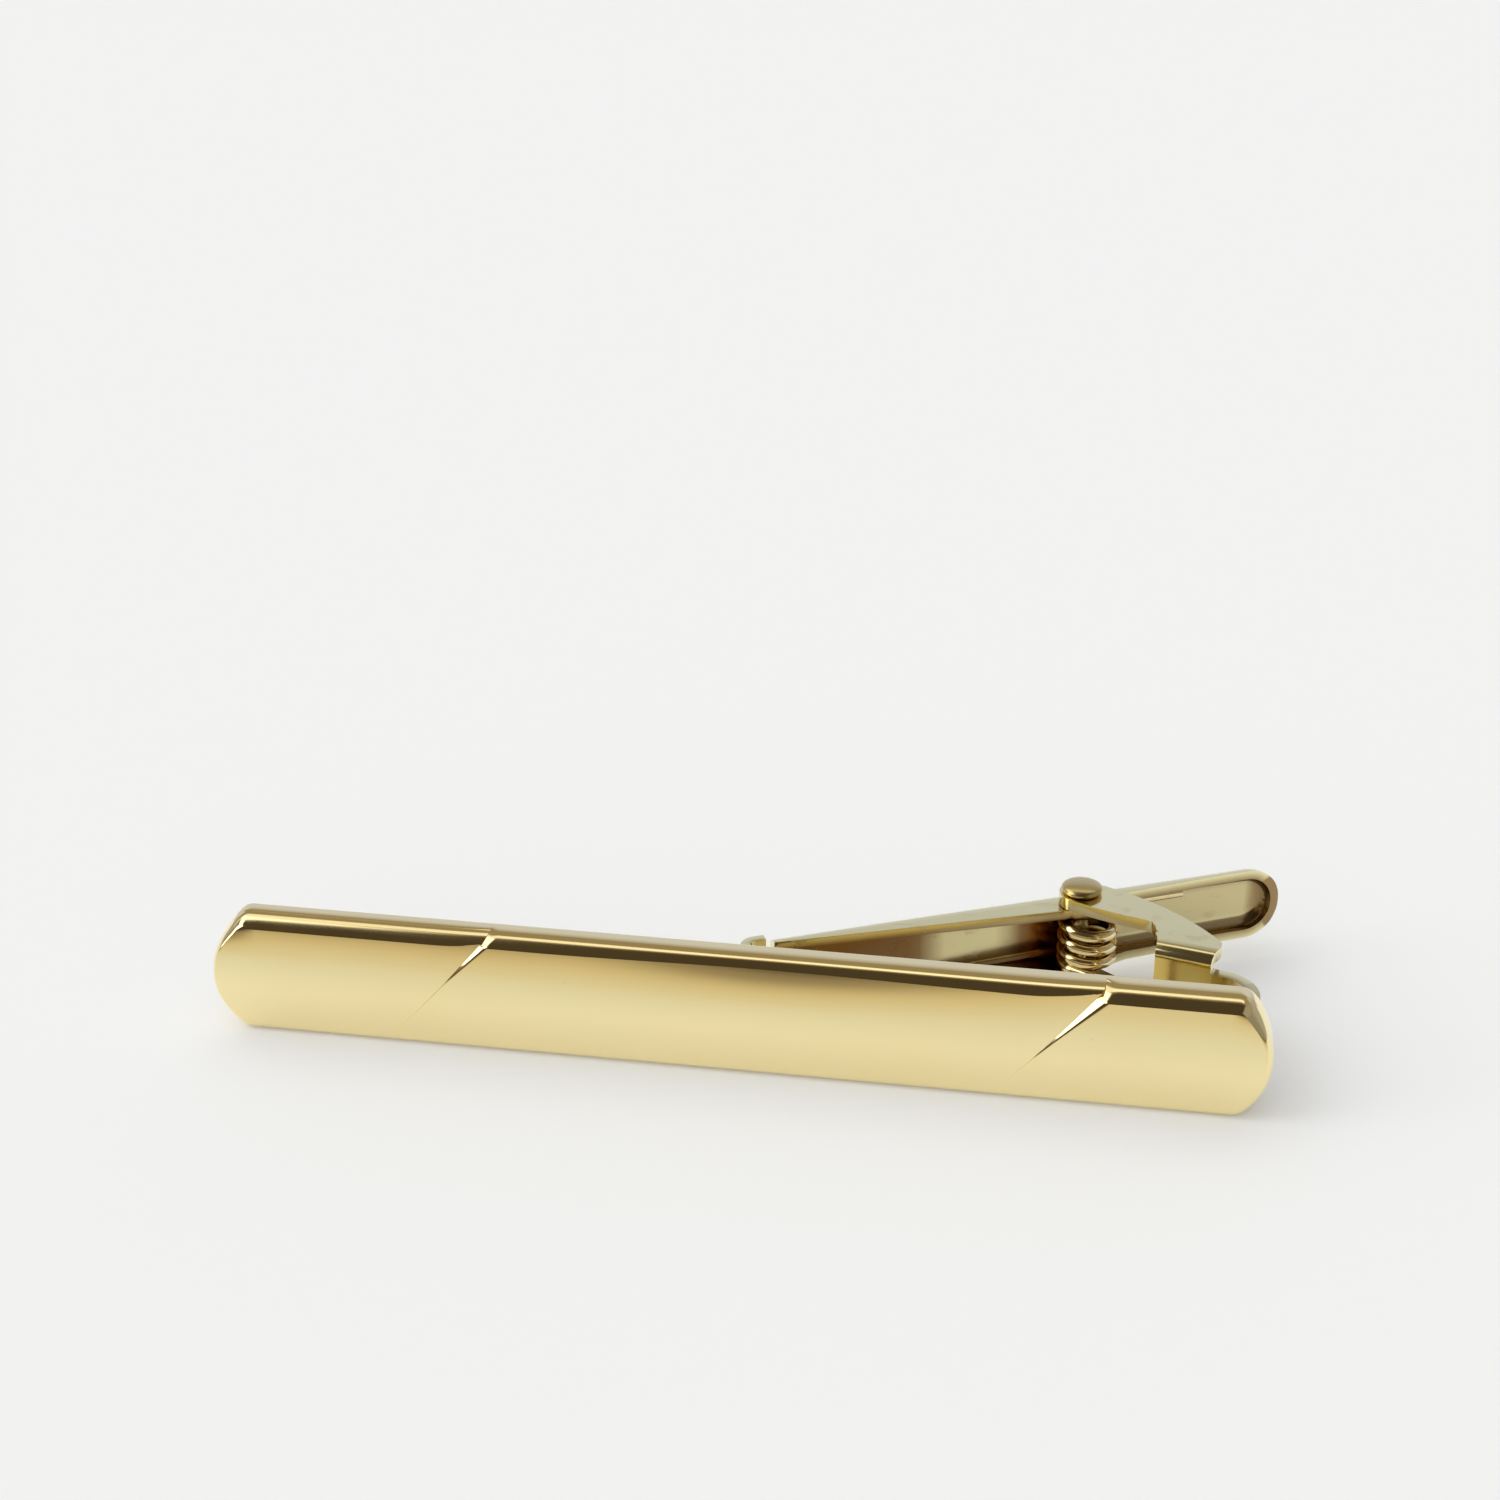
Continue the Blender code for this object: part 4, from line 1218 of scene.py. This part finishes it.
def aim(azimuth, elevation):
    """Direction, across and upright vectors of a window, azimuth from +X towards +Y in degrees."""
    a, e = math.radians(azimuth), math.radians(elevation)
    toward = Vector((math.cos(a) * math.cos(e), math.sin(a) * math.cos(e), math.sin(e)))
    across = Vector((-math.sin(a), math.cos(a), 0.0))
    return toward, across, toward.cross(across)


def aim_along(side, tilt):
    """The same for a window at a tilt over the bar's axis in degrees, a share of it along the bar."""
    t = math.radians(tilt)
    rest = math.sqrt(1 - side**2)
    toward = Vector((side, -math.cos(t) * rest, math.sin(t) * rest))
    across = (Vector((1, 0, 0)) - toward * side).normalized()
    return toward, across, toward.cross(across)


def studio_world():
    """Soft studio light: a dark room in front, a pale wall behind and softboxes above and beside."""
    world = bpy.data.worlds.new("soft_studio")
    world.use_nodes = True
    tree = world.node_tree
    tree.nodes.clear()
    ray = vector_maths(tree, "NORMALIZE", node(tree, "ShaderNodeTexCoord").outputs["Generated"])
    x, y, z = node(tree, "ShaderNodeSeparateXYZ", {0: ray}).outputs
    tilt = maths(tree, "ARCTAN2", z, maths(tree, "MULTIPLY", y, -1.0))
    tilt = maths(tree, "MULTIPLY", tilt, 180 / math.pi)
    sky = mix_colour(tree, ramp(tree, tilt, 140.0, 151.0), (0.31, 0.27, 0.19), (0.63, 0.70, 0.93))
    sky = mix_colour(tree, ramp(tree, tilt, 110.0, 119.0), (0.066, 0.053, 0.037), sky)
    aside = ramp(tree, maths(tree, "ABSOLUTE", maths(tree, "ADD", x, 0.12)), 0.52, 0.80)
    sky = mix_colour(tree, maths(tree, "MULTIPLY", aside, 0.8), sky, (0.34, 0.34, 0.34))
    # Direction, half width, half height, softness, side softness and tone of each softbox.
    lights = (
        (aim_along(-0.10, 124), 0.50, 0.085, 0.06, 0.10, (1.25, 1.25, 1.20)),
        (aim_along(-0.66, 124), 0.60, 0.05, 0.06, 0.30, (1.0, 1.0, 0.97)),
        (aim(-161, 31), 0.20, 0.54, 0.06, 0.05, (3.0, 3.0, 2.95)),
        (aim(158, 55), 0.30, 0.18, 0.10, 0.10, (2.0, 2.0, 1.95)),
        (aim(-8, 46), 0.45, 0.30, 0.20, 0.20, (0.35, 0.35, 0.35)),
    )
    for (toward, across, upright), width, height, soft, side_soft, tone in lights:
        window = node(tree, "ShaderNodeGroup",
                      {"Ray": ray, "Toward": toward, "Across": across, "Upright": upright,
                       "Half Width": width, "Half Height": height, "Softness": soft,
                       "Side Softness": side_soft}, node_tree=window_group())
        sky = mix_colour(tree, window.outputs["Mask"], sky, tone)
    path = node(tree, "ShaderNodeLightPath").outputs
    lit = vector_maths(tree, "DOT_PRODUCT", ray, (-0.53, -0.42, 0.74))
    dome = mix_colour(tree, ramp(tree, lit, -0.2, 1.0), (0.28, 0.28, 0.28), (1.20, 1.20, 1.20))
    sky = mix_colour(tree, path["Is Diffuse Ray"], sky, dome)
    sky = mix_colour(tree, path["Is Camera Ray"], sky, (0.863, 0.863, 0.847))
    light = node(tree, "ShaderNodeBackground", {"Color": sky, "Strength": 1.0})
    node(tree, "ShaderNodeOutputWorld", {"Surface": light.outputs[0]})
    bpy.context.scene.world = world


def studio_floor(look):
    """Plain pale floor that glows a little, so that shadows stay faint; for reflected rays alone it is
    painted darker away from the clip, so the gold mirrors a painted reflection.
    """
    reach = 3.0
    corners = [(-reach, -reach, 0.0), (reach, -reach, 0.0), (reach, reach, 0.0), (-reach, reach, 0.0)]
    mesh = bpy.data.meshes.new("studio_floor")
    mesh.from_pydata(corners, [], [(0, 1, 2, 3)])
    floor = new_object("studio_floor", mesh)
    material = bpy.data.materials.new("floor_paper")
    material.use_nodes = True
    tree = material.node_tree
    shader = tree.nodes["Principled BSDF"].inputs
    shader["Specular IOR Level"].default_value = 0.0
    shader["Emission Strength"].default_value = look.floor_glow
    place = node(tree, "ShaderNodeTexCoord").outputs["Object"]
    grain = noise(tree, place, 700.0, 3.0)
    tone = mix_colour(tree, maths(tree, "MULTIPLY", grain, 0.02), tuple(look.floor), (0.7, 0.7, 0.69))
    toward_camera = node(tree, "ShaderNodeSeparateXYZ", {0: place}).outputs["Y"]
    distance = maths(tree, "MULTIPLY", toward_camera, -1 / 0.15, clamp=True)
    painted_reflection_fade = node(tree, "ShaderNodeValToRGB", {"Fac": distance})
    # Tint of the painted reflection: the floor as glossy rays see it, from the clip's middle to 150 mm in
    # front of it.
    stops = ((0.0, (1.04, 1.11, 1.20)), (0.035, (1.04, 1.10, 1.20)), (0.06, (0.93, 1.0, 1.08)),
             (0.095, (0.84, 0.83, 0.76)), (0.13, (0.78, 0.72, 0.57)), (0.18, (0.57, 0.51, 0.37)),
             (0.24, (0.38, 0.33, 0.25)), (0.47, (0.20, 0.17, 0.13)), (1.0, (0.08, 0.065, 0.05)))
    elements = painted_reflection_fade.color_ramp.elements
    while len(elements) < len(stops):
        elements.new(0.5)
    for element, (position, tint) in zip(elements, stops):
        element.position = position
        element.color = (*tint, 1.0)
    mirrored = node(tree, "ShaderNodeLightPath").outputs["Is Glossy Ray"]
    tone = mix_colour(tree, mirrored, tone, mix_colour(tree, 1.0, tone, painted_reflection_fade.outputs["Color"], "MULTIPLY"))
    feed(tree, shader["Base Color"], tone)
    feed(tree, shader["Emission Color"], tone)
    feed(tree, shader["Roughness"], maths(tree, "MULTIPLY_ADD", grain, 0.1, 0.8))
    mesh.materials.append(material)


def studio_camera():
    """Camera at the photograph's place and angle."""
    data = bpy.data.cameras.new("studio_camera")
    data.sensor_width = 36.0
    data.lens = 62.4
    data.clip_start = 0.005
    data.clip_end = 20.0
    camera = new_object("studio_camera", data)
    camera.location = Vector((19.59, -111.88, 73.2)) * MM
    camera.rotation_mode = "QUATERNION"
    camera.rotation_quaternion = Vector((-0.1476, 0.8866, -0.4384)).to_track_quat("-Z", "Y")
    bpy.context.scene.camera = camera


class TIECLIP_OT_stage(bpy.types.Operator):
    """Set up the pale floor, the soft studio light and the camera"""

    bl_idname = "tie_clip.stage"
    bl_label = "Studio"

    def execute(self, context):
        context.scene.view_settings.view_transform = "Standard"
        studio_floor(context.scene.tie_clip_finish)
        studio_world()
        studio_camera()
        return {"FINISHED"}


class TIECLIP_PT_panel(bpy.types.Panel):
    """Buttons that build the tie clip piece by piece"""

    bl_label = "Tie Clip"
    bl_idname = "TIECLIP_PT_panel"
    bl_space_type = "VIEW_3D"
    bl_region_type = "UI"
    bl_category = "Tie Clip"

    def draw(self, context):
        layout = self.layout
        for step in STEPS:
            layout.operator(step.bl_idname)
        for name in GROUPS:
            box = layout.box()
            group = getattr(context.scene, name)
            for key in group.__annotations__:
                box.prop(group, key)


STEPS = (TIECLIP_OT_bar, TIECLIP_OT_bracket, TIECLIP_OT_arm, TIECLIP_OT_rivet, TIECLIP_OT_spring,
         TIECLIP_OT_stage)
GROUPS = {
    "tie_clip_bar": TieClipBar,
    "tie_clip_arm": TieClipArm,
    "tie_clip_bracket": TieClipBracket,
    "tie_clip_rivet": TieClipRivet,
    "tie_clip_spring": TieClipSpring,
    "tie_clip_finish": TieClipFinish,
}
CLASSES = (*GROUPS.values(), *STEPS, TIECLIP_PT_panel)


def register():
    """Register the settings, operators and panel."""
    for item in CLASSES:
        bpy.utils.register_class(item)
    for name, group in GROUPS.items():
        setattr(bpy.types.Scene, name, PointerProperty(type=group))


def unregister():
    """Undo register."""
    for name in GROUPS:
        delattr(bpy.types.Scene, name)
    for item in reversed(CLASSES):
        bpy.utils.unregister_class(item)


def main():
    """Build every piece and the studio."""
    register()
    bpy.ops.tie_clip.bar()
    bpy.ops.tie_clip.bracket()
    bpy.ops.tie_clip.arm()
    bpy.ops.tie_clip.rivet()
    bpy.ops.tie_clip.spring()
    bpy.ops.tie_clip.stage()
    bpy.context.view_layer.update()


if __name__ == "__main__":
    main()
